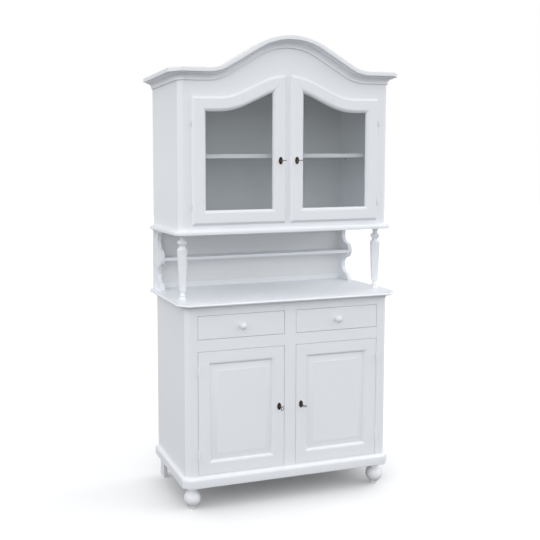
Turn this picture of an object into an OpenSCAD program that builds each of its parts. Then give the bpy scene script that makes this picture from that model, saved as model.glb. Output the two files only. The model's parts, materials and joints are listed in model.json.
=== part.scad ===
// Two-part display cabinet: a canted base with drawers and panelled doors, an open niche with turned
// columns, and a glazed upper cabinet under an arched cornice.
// Millimetres. X runs to the right, Y to the back, Z up. The origin is on the floor, in the middle.

/* [Base cabinet] */
// Width of the base body
base_w = 1000; // [900:10:1100]
// Depth of the base body
base_d = 440; // [420:5:500]
// Leg of the canted front corners of the base
base_cant = 19; // [14:1:24]
// Thickness of sides, bottoms, partition and shelves
board_t = 20; // [18:1:22]
// Thickness of the back panels
back_t = 6; // [4:1:8]
// Height of the feet
foot_h = 105; // [95:1:120]
// Height of the plinth moulding
plinth_h = 48; // [40:1:56]
// Reach of the plinth moulding past the body
plinth_out = 16; // [10:1:20]
// Part of the bottom rail seen above the plinth
bottom_reveal = 8; // [4:1:14]
// Height of the rail between drawer and door
mid_rail_h = 56; // [48:1:64]
// Height of the rail above the drawers
top_rail_h = 47; // [42:1:56]
// Thickness of the frame rails, doors and drawer fronts
front_t = 22; // [20:1:24]
// Width of the corner posts
post_w = 56; // [52:1:64]
// Depth of the corner posts
post_d = 34; // [30:1:40]
// Width of the stile between the two lower doors
mid_stile_w = 56; // [48:1:64]
// Gap all round the inset doors and drawer fronts
front_gap = 1.5; // [1:0.1:2]

/* [Table top] */
// Thickness of the table top
top_t = 16; // [14:1:20]
// Reach of the table top past the body
top_out = 37; // [36:1:44]
// Height of the cove moulding under the table top
cove_h = 21; // [17:1:24]
// Reach of the cove moulding
cove_out = 20; // [16:1:24]

/* [Drawers] */
// Height of a drawer front
drawer_h = 104; // [95:1:115]
// Free depth behind the drawer boxes
drawer_room = 42; // [38:2:82]
// Thickness of the drawer box sides
drawer_side_t = 12; // [10:1:14]
// Height of the drawer box sides
drawer_side_h = 84; // [76:1:88]
// Thickness of the drawer bottom
drawer_bottom_t = 4; // [3:0.5:5]
// Running clearance of the drawers
drawer_play = 0.5; // [0.4:0.1:0.8]
// Diameter of the knobs
knob_d = 32; // [28:1:36]
// Reach of the knobs
knob_out = 30; // [26:1:34]

/* [Lower doors] */
// Height of the lower doors
door_h = 556; // [500:5:600]
// Flat width of the frame around the panel
door_frame_w = 50; // [44:1:56]
// Width of the moulding inside the frame
stick_w = 11; // [9:0.5:12]
// Depth of the moulding inside the frame
stick_deep = 9; // [8:0.5:9.5]
// Width of the bevel of the raised panel
bevel_w = 28; // [22:1:32]
// Thickness of the panel's raised field
panel_t = 13; // [12:0.5:15]

/* [Niche] */
// Height of the open niche
niche_h = 291; // [260:5:320]
// Thickness of the scrolled brackets
bracket_t = 20; // [16:1:22]
// Reach of the brackets from the back
bracket_reach = 107; // [95:1:120]
// Depth of the brackets at their two waists
bracket_waist = 42; // [38:1:52]
// Height of the bracket's belly above the table top
bracket_belly_z = 156; // [148:1:166]
// Thickness of the niche shelf
niche_shelf_t = 14; // [12:1:18]
// Largest width of the turned columns
column_d = 43; // [38:1:46]
// Column's distance from the upper cabinet's side
column_in_x = 29; // [26:1:36]
// Column's distance from the upper cabinet's front
column_in_y = 50; // [40:1:60]

/* [Upper cabinet] */
// Reach of the upper body past the base body on each side
upper_over = 13; // [6:1:18]
// Setback of the upper body from the base's front
upper_back_off = 38; // [30:1:50]
// Leg of the canted front corners of the upper body
upper_cant = 19; // [14:1:24]
// Height of the fascia between the glass doors' shoulders and the cornice
fascia_h = 69; // [60:1:90]
// Thickness of the moulded bottom board
shelfboard_t = 21; // [18:1:24]
// Reach of the moulded bottom board
shelfboard_out = 21; // [17:1:26]
// Width of the upper corner posts
upper_post_w = 66.5; // [62:0.5:72]
// Width of the stile between the glass doors
upper_stile_w = 41; // [38:1:48]
// Height of the display shelf's top above the bottom board
display_shelf_up = 331; // [280:1:380]
// Thickness of the display shelf
display_shelf_t = 18; // [16:1:20]

/* [Cornice] */
// Height of the cornice moulding
cornice_h = 50; // [46:1:56]
// Reach of the cornice moulding
cornice_out = 45; // [42:0.5:49]
// Rise of the arch above the shoulders
arch_rise = 148; // [130:1:156]
// Half the width of the arch
arch_run = 388; // [376:1:396]
// Slope of the straight stretches of the arch
arch_slope = 30; // [29:0.5:31]
// Radius of the arch's crown
arch_crown_r = 326; // [296:5:346]

/* [Glass doors] */
// Height of a glass door's lower edge above the bottom board
glass_door_z = 21; // [16:1:28]
// Height of a glass door at its hinges
glass_door_h = 558; // [520:2:566]
// Lap of the door's lip over its opening
lip_lap = 9.5; // [8:0.5:11]
// How far the lip stands proud of the frame
lip_out = 14; // [12:1:15]
// Leg of the bevel around the lip
lip_bevel = 10; // [8:0.5:11]
// Flat width and bevel of the frame around the glass
glass_frame_w = 52; // [48:1:56]
// Rise of the glass doors' curved tops
door_rise = 98; // [90:1:104]
// Half the width of the doors' common curve
door_run = 335; // [325:1:345]
// Slope of the straight stretches of that curve
door_slope = 24.5; // [24:0.5:25]
// Radius of that curve's crown
door_crown_r = 300; // [280:5:320]
// Thickness of the glass
glass_t = 3; // [2.5:0.5:4]

/* [Hinges] */
// Radius of the lower hinge knuckles
hinge_r = 4.5; // [4:0.1:5]
// Length of one lower knuckle
knuckle_h = 15.5; // [14:0.5:18]
// Distance of the lower hinges from the door's ends
hinge_end = 90; // [80:1:100]
// Radius of the upper hinge knuckles
small_hinge_r = 4; // [3.6:0.1:4.4]
// Length of one upper knuckle
small_knuckle_h = 7.5; // [7:0.5:10]
// Height of the lower of the two upper hinges above the door's lower edge
small_hinge_low = 84; // [70:1:95]
// Distance of the upper of them from the door's shoulder
small_hinge_high = 112; // [100:1:125]
// Radius of the hinge pins
pin_r = 2; // [1.8:0.1:2.2]

/* [Locks] */
// Distance of the keyholes from the closing edge of the lower doors
backset = 25; // [22:1:28]
// The same for the glass doors, from the lip's edge
glass_backset = 29; // [28:1:32]
// Width of the lock cases
lock_w = 34; // [30:1:35]
// Height of the lock cases
lock_h = 56; // [48:1:60]
// Thickness of the lock cases
lock_t = 12; // [11:0.5:12.5]
// Throw of the bolts
bolt_throw = 8; // [6:0.5:9]
// Height of the bolts
bolt_h = 12; // [10:0.5:14]
// Thickness of the bolts
bolt_t = 4; // [3:0.5:5]
// Height of the escutcheons
escutcheon_h = 33; // [28:1:38]
// Width of the escutcheons
escutcheon_w = 19; // [16:1:22]
// Outer diameter of the key bows
bow_d = 22; // [18:1:24]
// Reach of the keys past the door's face
key_out = 47; // [44:1:52]
// Turn of the lower left key from level, as it was left
left_key_turn = 55; // [0:5:90]

/* [Hidden] */
$fn = 96;

white = [0.93, 0.94, 0.95];
inner_white = [0.88, 0.885, 0.89];
burnished = [0.17, 0.13, 0.12];
steel = [0.62, 0.63, 0.65];

// Depths: the back of everything is on the wall, the table top is the frontmost edge
back_y = (base_d + top_out) / 2;
front_y = back_y - base_d;
upper_y = front_y + upper_back_off;
rail_y = front_y + front_t;
upper_rail_y = upper_y + front_t;
panel_y = back_y - back_t;

// Widths
half_w = base_w / 2;
upper_w = base_w + 2 * upper_over;
upper_half = upper_w / 2;
post_x = half_w - post_w;
mid_x = mid_stile_w / 2;
upper_post_x = upper_half - upper_post_w;
upper_mid_x = upper_stile_w / 2;
stile_rib_half = 10;
side_x = half_w - board_t;
upper_side_x = upper_half - board_t;

// Heights, from the floor
plinth_top_z = foot_h + plinth_h;
door_z = plinth_top_z + bottom_reveal;
door_top_z = door_z + door_h;
drawer_z = door_top_z + mid_rail_h;
drawer_top_z = drawer_z + drawer_h;
carcass_top_z = drawer_top_z + top_rail_h;
table_z = carcass_top_z + top_t;
board_z = table_z + niche_h;
upper_z = board_z + shelfboard_t;
upper_h = glass_door_z + glass_door_h + fascia_h;
shoulder_z = upper_z + upper_h;
cornice_z = shoulder_z + cornice_h;
shelf_z = upper_z + display_shelf_up;

// The inset fronts
front_x0 = mid_x + front_gap;
front_x1 = post_x - front_gap;
front_w = front_x1 - front_x0;

// The lipped glass doors, with their common curve
lip_x0 = upper_mid_x - lip_lap;
lip_x1 = upper_post_x + lip_lap;
lip_z = upper_z + glass_door_z;
lip_top_z = lip_z + glass_door_h;
lip_play = 0.3;
lip_edge_t = lip_out - lip_bevel;
inset_gap = lip_lap + front_gap;
door_t = 22;
door_back = door_t - lip_out;
sight = glass_frame_w + stick_w + 1;
rebate = 8;
glass_front = lip_out - stick_deep - 3;
bead_gap = 0.3;

// Fit allowances
play = 0.3;
hole_play = 0.1;
pin_play = 0.08;
stop_lap = 8;
shelf_play = 1;
shelf_setback = 26;
shelf_pin_r = 2.5;
shelf_pin_in = 9;
shelf_pin_out = 8;
base_shelf_part = 0.48;
base_shelf_z = door_z + base_shelf_part * door_h;
shelf_pin_step = 40;
shelf_pin_front = shelf_setback + shelf_pin_step;
shelf_pin_back = 60;
shelf_pin_ys = [rail_y + shelf_pin_front, panel_y - shelf_pin_back];
display_pin_ys = [upper_rail_y + shelf_pin_front, panel_y - shelf_pin_back];

hinge_off = 0.5;
knuckle_gap = 0.6;
knuckle_tip_part = 0.8;
knuckle_tip_off = 0.75;
pin_cover = 1.5;
shank_r = 2;
shank_in = 20;
shank_root = 1;

// Bun feet
foot_in = 38;
foot_in_y = 35;
foot_sole_r = 16.5;
foot_sole_h = 14;
foot_ankle_r = 19;
foot_ball_r = 38;
foot_neck_r = 19;
foot_neck_h = 23;
foot_flange_r = 30;
foot_flange_h = 14;
rear_foot_w = 18;
rear_foot_d = 57;
rear_foot_in = 10;

// Small sizes of the mouldings
plinth_round = 14;
plinth_arris = 3;
nose_h = 9;
nose_back = 5;
thumb_r = 13;
cove_fillet = 3;
cornice_fillet = [6, 5];
cornice_cove_r = 21;
cornice_step = [2, 4];
cornice_soffit = 2;
cornice_soft = 1.5;
glue_line = 0.1;
score_w = 1.2;
score_deep = 1;
score_in = 4.5;
strip_h = 26;
strip_t = 12;
strip_bead_h = 10;
strip_steps = [4, 5, 7];

// Sticking of the door frames: a quirk at the edge, a step at the face and a flat at the foot
stick_quirk = 0.5;
stick_step = 1.5;
stick_foot = 2.5;
panel_lap = 9;
panel_edge_t = 5.6;
panel_groove = 6;
panel_groove_deep = 10;
panel_back = stick_deep + 7.3;
panel_step = 1;
bead_nose = 2;
bead_bevel = 3;

// The scrolled brackets: two scoops and a belly that touch each other
bracket_in = 4;
bracket_x1 = upper_half - bracket_in;
bracket_x0 = bracket_x1 - bracket_t;
bracket_edge_out = 10;
bracket_edge_x = bracket_x1 + bracket_edge_out;
bracket_edge_t = 25;
bracket_toe_h = 8;
scoop_r = 42;
belly_r = 38;
belly_in = 1;
waist_in = 2;
belly_d = bracket_reach - belly_in - belly_r;
scoop_d = bracket_waist - waist_in + scoop_r;
scoop_dz = sqrt(pow(scoop_r + belly_r, 2) - pow(scoop_d - belly_d, 2));
niche_shelf_up = bracket_belly_z + 2;
niche_shelf_in = 2;

// The turned columns: profiles of radius and height, from the foot's sole and from the cap's top
column_foot = [
    [0, 0], [18.5, 0], [18.5, 5], [14, 7], [9.5, 13], [9.5, 15], [13.5, 17], [14, 19], [9, 32], [9, 35],
    [12, 37], [15.5, 39], [15.5, 56], [13, 58], [0, 58]
];
column_head = [
    [0, -55], [12, -55], [12, -51], [15, -49], [12, -47], [12, -30], [10.5, -26], [10.5, -14],
    [16, -5], [18, -4], [18, 0], [0, 0]
];
column_foot_h = 58;
column_head_h = 55;
column_shoulder_h = 13;
column_waist_r = 15.5;
column_top_r = 12.5;
column_ball_r = 10.5;
column_ball_down = 37;

// Drawer boxes and their runners
box_in = 4;
box_x0 = front_x0 + box_in;
box_x1 = front_x1 - box_in;
box_up = 8;
box_z = drawer_z + box_up;
drawer_len = panel_y - rail_y - drawer_room;
groove_deep = 5;
groove_z = 8;
drawer_back_low = 6;
runner_h = 18;
guide_h = 34;
runner_y = front_y + post_d;
knob_x = (front_x0 + front_x1) / 2;
knob_z = (drawer_z + drawer_top_z) / 2;
tenon_r = 5;
tenon_len = 15;
knob_dome = 0.62;
knob_foot = 0.56;
knob_neck = 0.42;

// Hinges and locks
hinge_x = post_x - front_gap / 2;
hinge_y = front_y - hinge_r - hinge_off;
small_hinge_x = lip_x1 + small_hinge_r + hinge_off;
small_hinge_y = upper_y - small_hinge_r - hinge_off;
door_hinges = [door_z + hinge_end, door_top_z - hinge_end];
glass_hinges = [lip_z + small_hinge_low, lip_top_z - small_hinge_high];
key_x = front_x0 + backset;
key_z = (door_z + door_top_z) / 2;
glass_key_x = lip_x0 + glass_backset;
glass_key_z = (lip_z + lip_top_z) / 2;
glass_lock_edge = glass_backset - inset_gap;
key_r = 2;
key_hole_r = 2.4;
key_slot_w = 2.8;
key_slot_h = 8.5;
key_collar_r = 3.2;
key_collar_h = 2;
bit_len = 7.5;
bit_t = 2;
chamber_r = 9.5;
chamber_wall = 1.5;
key_way_in = 3;
bolt_len = 25;
bolt_back = 2;
bolt_short = 0.2;
case_in = 4;
bolt_y = 0.5;
case_out = bolt_y + bolt_t + bolt_back;
case_in_door = lock_t - case_out;
escutcheon_t = 2;
oval_end = 0.32;
bow_wire_r = 1.6;

// A board between two opposite corners
module board(lo, hi) translate(lo) cube(hi - lo);

// The same piece on both sides
module both() {
    children();
    mirror([1, 0, 0]) children();
}

// A piece drawn for the right, put on one side
module on_side(side) mirror([side > 0 ? 0 : 1, 0, 0]) children();

// One long bar of a section that is drawn outwards and up, standing on its edge line
module edge_bar(x, y, turn, len) {
    translate([x, y, 0]) rotate([0, 0, turn]) rotate([90, 0, 0])
        linear_extrude(len, center = true) children();
}

// A slab on a plan with two canted front corners, with the section children() along its front,
// cants and sides: x is outwards from the body's face, y is up, and it reaches far inwards
module moulded_slab(half, front, cant) {
    len = 3 * half;
    intersection() {
        edge_bar(half, back_y, 0, len) children();
        edge_bar(-half, back_y, 180, len) children();
        edge_bar(0, front, -90, len) children();
        edge_bar(half - cant / 2, front + cant / 2, -45, len) children();
        edge_bar(cant / 2 - half, front + cant / 2, -135, len) children();
        board([-len, front - len, -1], [len, back_y, cornice_z]);
    }
}

// The plan of a body with two canted front corners, grown by some reach
module canted_plan(half, front, cant, grow = 0) {
    h = half + grow;
    f = front - grow;
    c = cant + grow * (2 - sqrt(2));
    polygon([[-h, back_y], [-h, f + c], [c - h, f], [h - c, f], [h, f + c], [h, back_y]]);
}

// The plan in front of the mitres that halve the cants, and the plan to the right of them
module front_of_mitres(half, front, cant) {
    x = half - cant / 2;
    y = front + cant / 2;
    polygon([[0, y + x], [x + half, y - half], [-x - half, y - half]]);
}
module right_of_mitre(half, front, cant) {
    x = half - cant / 2;
    y = front + cant / 2;
    polygon([[0, y + x], [0, y + 3 * half], [x + half, y + 3 * half], [x + half, y - half]]);
}

// The S-shaped rise: an arch with a crown, two straight slopes and two hollows that end level.
// It is set by its rise, half its width, its slope and its crown's radius.
function radii_sum(rise, run, slope) = (run * sin(slope) - rise * cos(slope)) / (1 - cos(slope));
function slope_len(rise, run, slope) =
    (rise - radii_sum(rise, run, slope) * (1 - cos(slope))) / sin(slope);

// A section swept along the right half of the rise, in three lengths with glue lines between them:
// its x is height over the line, its y is outwards
module rise_sweep(rise, run, slope, crown_r) {
    rise_crown(rise, slope, crown_r, slope) children();
    rise_straight(rise, run, slope, crown_r) children();
    rise_hollow(rise, run, slope, crown_r) children();
}

module rise_crown(rise, slope, crown_r, angle) {
    translate([0, 0, rise - crown_r]) rotate([90, 0, 0])
        rotate_extrude(angle = angle, start = 90 - slope) translate([crown_r, 0]) children();
}

module rise_straight(rise, run, slope, crown_r) {
    len = slope_len(rise, run, slope) - 2 * glue_line;
    translate([crown_r * sin(slope), 0, rise - crown_r * (1 - cos(slope))]) rotate([0, slope, 0])
        translate([glue_line, 0, 0]) frame_bar(len) children();
}

module rise_hollow(rise, run, slope, crown_r) {
    hollow_r = radii_sum(rise, run, slope) - crown_r;
    translate([run, 0, hollow_r]) rotate([90, 0, 0])
        rotate_extrude(angle = slope, start = 270 - slope)
            translate([hollow_r, 0]) mirror([1, 0]) children();
}

// A bar along X: its section's x is up, its y is towards the viewer
module frame_bar(len) rotate([180, -90, 0]) linear_extrude(len) children();

// The area under the rise, down to a level, drawn in x and height
module rise_area(rise, run, slope, crown_r, half, below) {
    hollow_r = radii_sum(rise, run, slope) - crown_r;
    x1 = crown_r * sin(slope);
    z1 = rise - crown_r * (1 - cos(slope));
    x2 = run - hollow_r * sin(slope);
    z2 = hollow_r * (1 - cos(slope));
    difference() {
        union() {
            polygon([
                [-half, -below], [half, -below], [half, 0], [run, 0], [x2, z2], [x1, z1],
                [-x1, z1], [-x2, z2], [-run, 0], [-half, 0]
            ]);
            intersection() {
                translate([0, rise - crown_r]) circle(crown_r);
                translate([-x1, z1 - 1]) square([2 * x1, crown_r]);
            }
        }
        for (side = [-1, 1]) translate([side * run, hollow_r]) circle(hollow_r);
    }
}

// A drawing in x and height stood upright, its thickness running to the back from y
module stand(y, t) translate([0, y + t, 0]) rotate([90, 0, 0]) linear_extrude(t) children();

// Moulding sections. reach is how far each runs inwards of the body's face.
module plinth_section(reach) {
    polygon([
        [-reach, 0], [plinth_out - plinth_arris, 0], [plinth_out, plinth_arris],
        [plinth_out, plinth_h - plinth_round], [plinth_out - plinth_round, plinth_h], [-reach, plinth_h]
    ]);
    translate([plinth_out - plinth_round, plinth_h - plinth_round]) circle(plinth_round);
}

module cove_section(reach) {
    r = cove_out - 2 * cove_fillet;
    difference() {
        polygon([
            [-reach, 0], [cove_fillet, 0], [cove_fillet, cove_fillet],
            [cove_fillet + r, cove_fillet + r], [cove_out, cove_fillet + r], [cove_out, cove_h],
            [-reach, cove_h]
        ]);
        translate([cove_fillet + r, cove_fillet]) circle(r);
    }
}

module table_section(reach) {
    inward_square(reach, top_out - nose_back, nose_h, top_t);
    inward_square(reach, top_out - nose_h / 2, 0, nose_h);
    translate([top_out - nose_h / 2, nose_h / 2]) circle(nose_h / 2);
}

module board_section(reach) {
    inward_square(reach, shelfboard_out, 0, shelfboard_t - thumb_r);
    inward_square(reach, shelfboard_out - thumb_r, 0, shelfboard_t);
    translate([shelfboard_out - thumb_r, shelfboard_t - thumb_r]) circle(thumb_r);
}

module cornice_section(reach) {
    f = cornice_fillet;
    r = cornice_cove_r;
    step = f + [r + cornice_step.x, r + cornice_step.y];
    difference() {
        polygon([
            [-reach, 0], [f.x, 0], f, f + [r, r], [step.x, f.y + r], step,
            [cornice_out, step.y + cornice_soffit], [cornice_out, cornice_h - cornice_soft],
            [cornice_out - cornice_soft, cornice_h], [-reach, cornice_h]
        ]);
        translate([f.x + r, f.y]) circle(r);
    }
}

module inward_square(reach, out, low, high) {
    translate([-reach, low]) square([reach + out, high - low]);
}

// Base cabinet
module pin_holes(xs, ys, z, toward) {
    for (x = xs, y = ys)
        translate([x, y, z]) rotate([0, 90 * toward, 0])
            cylinder(r = shelf_pin_r + hole_play, h = shelf_pin_in + hole_play);
}

module base_sides() {
    color(white) both() difference() {
        board([side_x, runner_y, foot_h], [half_w, back_y, carcass_top_z]);
        pin_holes([side_x], shelf_pin_ys, base_shelf_z - shelf_pin_r, 1);
    }
}

module base_bottom() {
    top = door_z + stop_lap;
    color(inner_white) difference() {
        board([-side_x, rail_y + play, top - board_t], [side_x, panel_y, top]);
        both() board([post_x, front_y, 0], [half_w, runner_y, top + 1]);
    }
}

module base_partition() {
    half = board_t / 2;
    color(inner_white) difference() {
        board([-half, rail_y, door_z + stop_lap], [half, panel_y, carcass_top_z]);
        pin_holes([half], shelf_pin_ys, base_shelf_z - shelf_pin_r, -1);
        pin_holes([-half], shelf_pin_ys, base_shelf_z - shelf_pin_r, 1);
    }
}

module base_shelves() {
    color(inner_white) both() board(
        [board_t / 2 + shelf_play, rail_y + shelf_setback, base_shelf_z],
        [side_x - shelf_play, panel_y - shelf_play, base_shelf_z + board_t]);
}

module shelf_pins() {
    color(steel) both() {
        pins(side_x, shelf_pin_ys, base_shelf_z - shelf_pin_r, -1);
        pins(board_t / 2, shelf_pin_ys, base_shelf_z - shelf_pin_r, 1);
        pins(upper_side_x, display_pin_ys, shelf_z - display_shelf_t - shelf_pin_r, -1);
    }
}

module pins(x, ys, z, toward) {
    for (y = ys)
        translate([x - toward * shelf_pin_in, y, z]) rotate([0, 90 * toward, 0])
            cylinder(r = shelf_pin_r, h = shelf_pin_in + shelf_pin_out);
}

module corner_posts() {
    score_x = post_x + score_in;
    color(white) both() difference() {
        translate([0, 0, foot_h]) linear_extrude(carcass_top_z - foot_h) polygon([
            [post_x, front_y], [score_x - score_w / 2, front_y], [score_x, front_y + score_deep],
            [score_x + score_w / 2, front_y], [half_w - base_cant, front_y],
            [half_w, front_y + base_cant], [half_w, runner_y], [post_x, runner_y]
        ]);
        for (z = door_hinges) lower_frame_shank(z, hole_play);
    }
}

// The bolts pass behind the lower stile and behind the upper stile's face, beside the rib glued to it
module mid_stiles() {
    color(white) {
        board([-mid_x, front_y, foot_h], [mid_x, rail_y, carcass_top_z]);
        stand(upper_y, door_back) upper_stile_outline(upper_mid_x);
        stand(upper_y + door_back + glue_line, front_t - door_back - glue_line)
            upper_stile_outline(stile_rib_half);
    }
}

module upper_stile_outline(half) {
    intersection() {
        translate([-half, upper_z]) square([2 * half, 2 * upper_h]);
        door_curve(lip_lap);
    }
}

module base_rails() {
    color(white) both() {
        board([mid_x, front_y, foot_h], [post_x, rail_y, door_z - front_gap]);
        board([mid_x, front_y, door_top_z + front_gap], [post_x, rail_y, drawer_z - front_gap]);
        board([mid_x, front_y, drawer_top_z + front_gap], [post_x, rail_y, carcass_top_z]);
    }
}

module plinth_moulding() {
    color(white) translate([0, 0, foot_h]) lengths(half_w, front_y, base_cant, plinth_h)
        moulded_slab(half_w, front_y, base_cant) plinth_section(2 * base_w);
}

module cove_moulding() {
    color(white) translate([0, 0, carcass_top_z - cove_h])
        lengths(half_w, front_y, base_cant, cove_h)
            moulded_slab(half_w, front_y, base_cant) cove_section(2 * base_w);
}

// The three lengths of a moulding round a body, mitred in the middle of the cants
module lengths(half, front, cant, h) {
    front_length(half, front, cant, h) children();
    both() side_length(half, front, cant, h) children();
}

module front_length(half, front, cant, h) {
    difference() {
        intersection() {
            children();
            translate([0, -glue_line, 0]) linear_extrude(h) front_of_mitres(half, front, cant);
        }
        translate([0, 0, -1]) linear_extrude(h + 2) canted_plan(half, front, cant);
    }
}

module side_length(half, front, cant, h) {
    difference() {
        intersection() {
            children();
            linear_extrude(h) right_of_mitre(half, front, cant);
        }
        translate([0, 0, -1]) linear_extrude(h + 2) canted_plan(half, front, cant);
    }
}

module bun_feet() {
    ball_h = foot_h - foot_neck_h - foot_sole_h;
    color(white) both() translate([half_w - foot_in, front_y + foot_in_y, 0]) rotate_extrude() {
        polygon([
            [0, 0], [foot_sole_r - 1, 0], [foot_sole_r, 1.5], [foot_ankle_r, foot_sole_h],
            [foot_ankle_r, foot_h - foot_neck_h], [foot_neck_r, foot_h - foot_neck_h],
            [foot_neck_r, foot_h - foot_flange_h], [foot_flange_r, foot_h - foot_flange_h + 3],
            [foot_flange_r, foot_h], [0, foot_h]
        ]);
        intersection() {
            translate([0, foot_sole_h + ball_h / 2]) circle(foot_ball_r);
            translate([0, foot_sole_h]) square([foot_ball_r, ball_h]);
        }
    }
}

module rear_feet() {
    color(white) both() board(
        [half_w - rear_foot_in - rear_foot_w, back_y - rear_foot_d, 0],
        [half_w - rear_foot_in, back_y, foot_h]);
}

module drawer_runners() {
    low = box_z - play;
    high = box_z + drawer_side_h + drawer_play;
    under = drawer_side_t;
    half = board_t / 2;
    color(inner_white) both() {
        board([half, runner_y, low - runner_h], [box_x0 + under, panel_y, low]);
        board([box_x1 - under, runner_y, low - runner_h], [side_x, panel_y, low]);
        board([half, runner_y, low], [box_x0 - drawer_play, panel_y, low + guide_h]);
        board([box_x1 + drawer_play, runner_y, low], [side_x, panel_y, low + guide_h]);
        board([half, runner_y, high], [box_x0 + under, panel_y, high + runner_h]);
        board([box_x1 - under, runner_y, high], [side_x, panel_y, high + runner_h]);
    }
}

module table_top() {
    color(white) translate([0, 0, carcass_top_z])
        moulded_slab(half_w, front_y, base_cant) table_section(2 * base_w);
}

// Niche
module scroll_brackets() {
    color(white) both() translate([bracket_x0, back_y, table_z]) {
        rotate([90, 0, 90]) mirror([1, 0]) linear_extrude(bracket_t) bracket_outline();
        translate([0, -bracket_edge_t, 0]) cube([bracket_edge_x - bracket_x0, bracket_edge_t, niche_h]);
    }
}

// Depth from the back against height above the table top
module bracket_outline() {
    touch_d = scoop_d - (scoop_d - belly_d) * scoop_r / (scoop_r + belly_r);
    touch_dz = scoop_dz * belly_r / (scoop_r + belly_r);
    low = bracket_belly_z - scoop_dz;
    high = bracket_belly_z + scoop_dz;
    top = max(niche_h, high + scoop_r);
    intersection() {
        square([bracket_reach, niche_h]);
        difference() {
            polygon([
                [0, 0], [bracket_reach, 0], [bracket_reach, bracket_toe_h], [scoop_d, low - scoop_r],
                [touch_d, bracket_belly_z - touch_dz], [touch_d, bracket_belly_z + touch_dz],
                [scoop_d, high + scoop_r], [scoop_d, top], [0, top]
            ]);
            translate([scoop_d, low]) circle(scoop_r);
            translate([scoop_d, high]) circle(scoop_r);
        }
    }
    translate([belly_d, bracket_belly_z]) circle(belly_r);
}

module back_panels() {
    color(inner_white) {
        board([-side_x, panel_y, foot_h], [side_x, back_y, carcass_top_z]);
        board([-bracket_x0, panel_y, table_z], [bracket_x0, back_y, board_z]);
        board([-upper_side_x, panel_y, upper_z], [upper_side_x, back_y, cornice_z - board_t]);
    }
}

module niche_back_strip() {
    color(white) translate([-bracket_x0, panel_y, table_z]) rotate([180, -90, 0])
        linear_extrude(2 * bracket_x0) polygon([
            [0, 0], [0, strip_t], [strip_h - strip_bead_h, strip_t],
            [strip_h - strip_bead_h + 2, strip_t - strip_steps[0]],
            [strip_h - 2, strip_t - strip_steps[1]], [strip_h, strip_t - strip_steps[2]], [strip_h, 0]
        ]);
}

module niche_shelf() {
    top = table_z + niche_shelf_up;
    color(white) board([-bracket_x0, back_y - bracket_reach + niche_shelf_in, top - niche_shelf_t],
        [bracket_x0, panel_y, top]);
}

module turned_columns() {
    r = column_d / 2;
    color(white) both() translate([upper_half - column_in_x, upper_y + column_in_y, table_z]) {
        turned_part(r);
        eight_sided_part(r);
    }
}

// The turned ends: base, vase and collar below; ring, ball, neck and cap above
module turned_part(r) {
    rotate_extrude() {
        polygon(column_foot);
        translate([0, niche_h]) polygon(column_head);
        intersection() {
            translate([r - column_ball_r, niche_h - column_ball_down]) circle(column_ball_r);
            translate([0, niche_h - column_ball_down - column_ball_r]) square([r, 2 * column_ball_r]);
        }
    }
}

// The eight-sided tapered body with its sloping shoulders
module eight_sided_part(r) {
    low = column_foot_h - 1;
    shoulder = niche_h - column_head_h - column_shoulder_h;
    top = niche_h - column_head_h + 1;
    a = column_waist_r;
    b = column_top_r;
    intersection_for (i = [0:3]) rotate([0, 0, 45 * i]) rotate([90, 0, 0])
        linear_extrude(4 * r, center = true)
            polygon([[-a, low], [a, low], [r, shoulder], [b, top], [-b, top], [-r, shoulder]]);
}

// Upper cabinet
module moulded_board() {
    color(white) translate([0, 0, board_z])
        moulded_slab(upper_half, upper_y, upper_cant) board_section(2 * upper_w);
}

module upper_sides() {
    color(white) both() difference() {
        board([upper_side_x, upper_y + post_d, upper_z], [upper_half, back_y, cornice_z]);
        pin_holes([upper_side_x], display_pin_ys, shelf_z - display_shelf_t - shelf_pin_r, 1);
    }
}

module upper_roof() {
    color(inner_white) difference() {
        board([-upper_side_x, upper_rail_y, cornice_z - board_t], [upper_side_x, back_y, cornice_z]);
        both() board([upper_post_x, upper_y, shoulder_z], [upper_half, upper_y + post_d, cornice_z + 1]);
    }
}

module upper_posts() {
    color(white) both() difference() {
        translate([0, 0, upper_z]) linear_extrude(cornice_z - upper_z) polygon([
            [upper_post_x, upper_y], [upper_half - upper_cant, upper_y],
            [upper_half, upper_y + upper_cant], [upper_half, upper_y + post_d],
            [upper_post_x, upper_y + post_d]
        ]);
        for (z = glass_hinges) upper_frame_shank(z, hole_play);
    }
}

module upper_bottom_rail() {
    color(white) both() board([upper_mid_x, upper_y, upper_z],
        [upper_post_x, upper_rail_y, lip_z + lip_lap]);
}

module arched_fascia() {
    color(white) stand(upper_y, front_t) difference() {
        intersection() {
            translate([-upper_post_x, lip_top_z - lip_lap]) square([2 * upper_post_x, upper_h]);
            translate([0, cornice_z])
                rise_area(arch_rise, arch_run, arch_slope, arch_crown_r, upper_half, upper_h);
        }
        door_curve(lip_lap);
    }
}

// The area under the glass doors' curve, drawn in by some distance
module door_curve(in) {
    translate([0, lip_top_z - in])
        rise_area(door_rise, door_run, door_slope, door_crown_r - in, upper_half, upper_h);
}

module cornice_arch() {
    line_r = arch_crown_r - cornice_h;
    color(white) {
        translate([0, upper_y, shoulder_z]) {
            rise_crown(arch_rise, arch_slope, line_r, 2 * arch_slope) cornice_upright();
            both() {
                rise_straight(arch_rise, arch_run, arch_slope, line_r) cornice_upright();
                rise_hollow(arch_rise, arch_run, arch_slope, line_r) cornice_upright();
            }
        }
        translate([0, 0, shoulder_z]) both() intersection() {
            front_length(upper_half, upper_y, upper_cant, cornice_h)
                moulded_slab(upper_half, upper_y, upper_cant) cornice_section(2 * upper_w);
            board([arch_run + glue_line, upper_y - upper_half, -1], [upper_w, back_y, cornice_h + 1]);
        }
    }
}

// The cornice's section with its height along the first axis
module cornice_upright() mirror([1, -1]) cornice_section(0);

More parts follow.
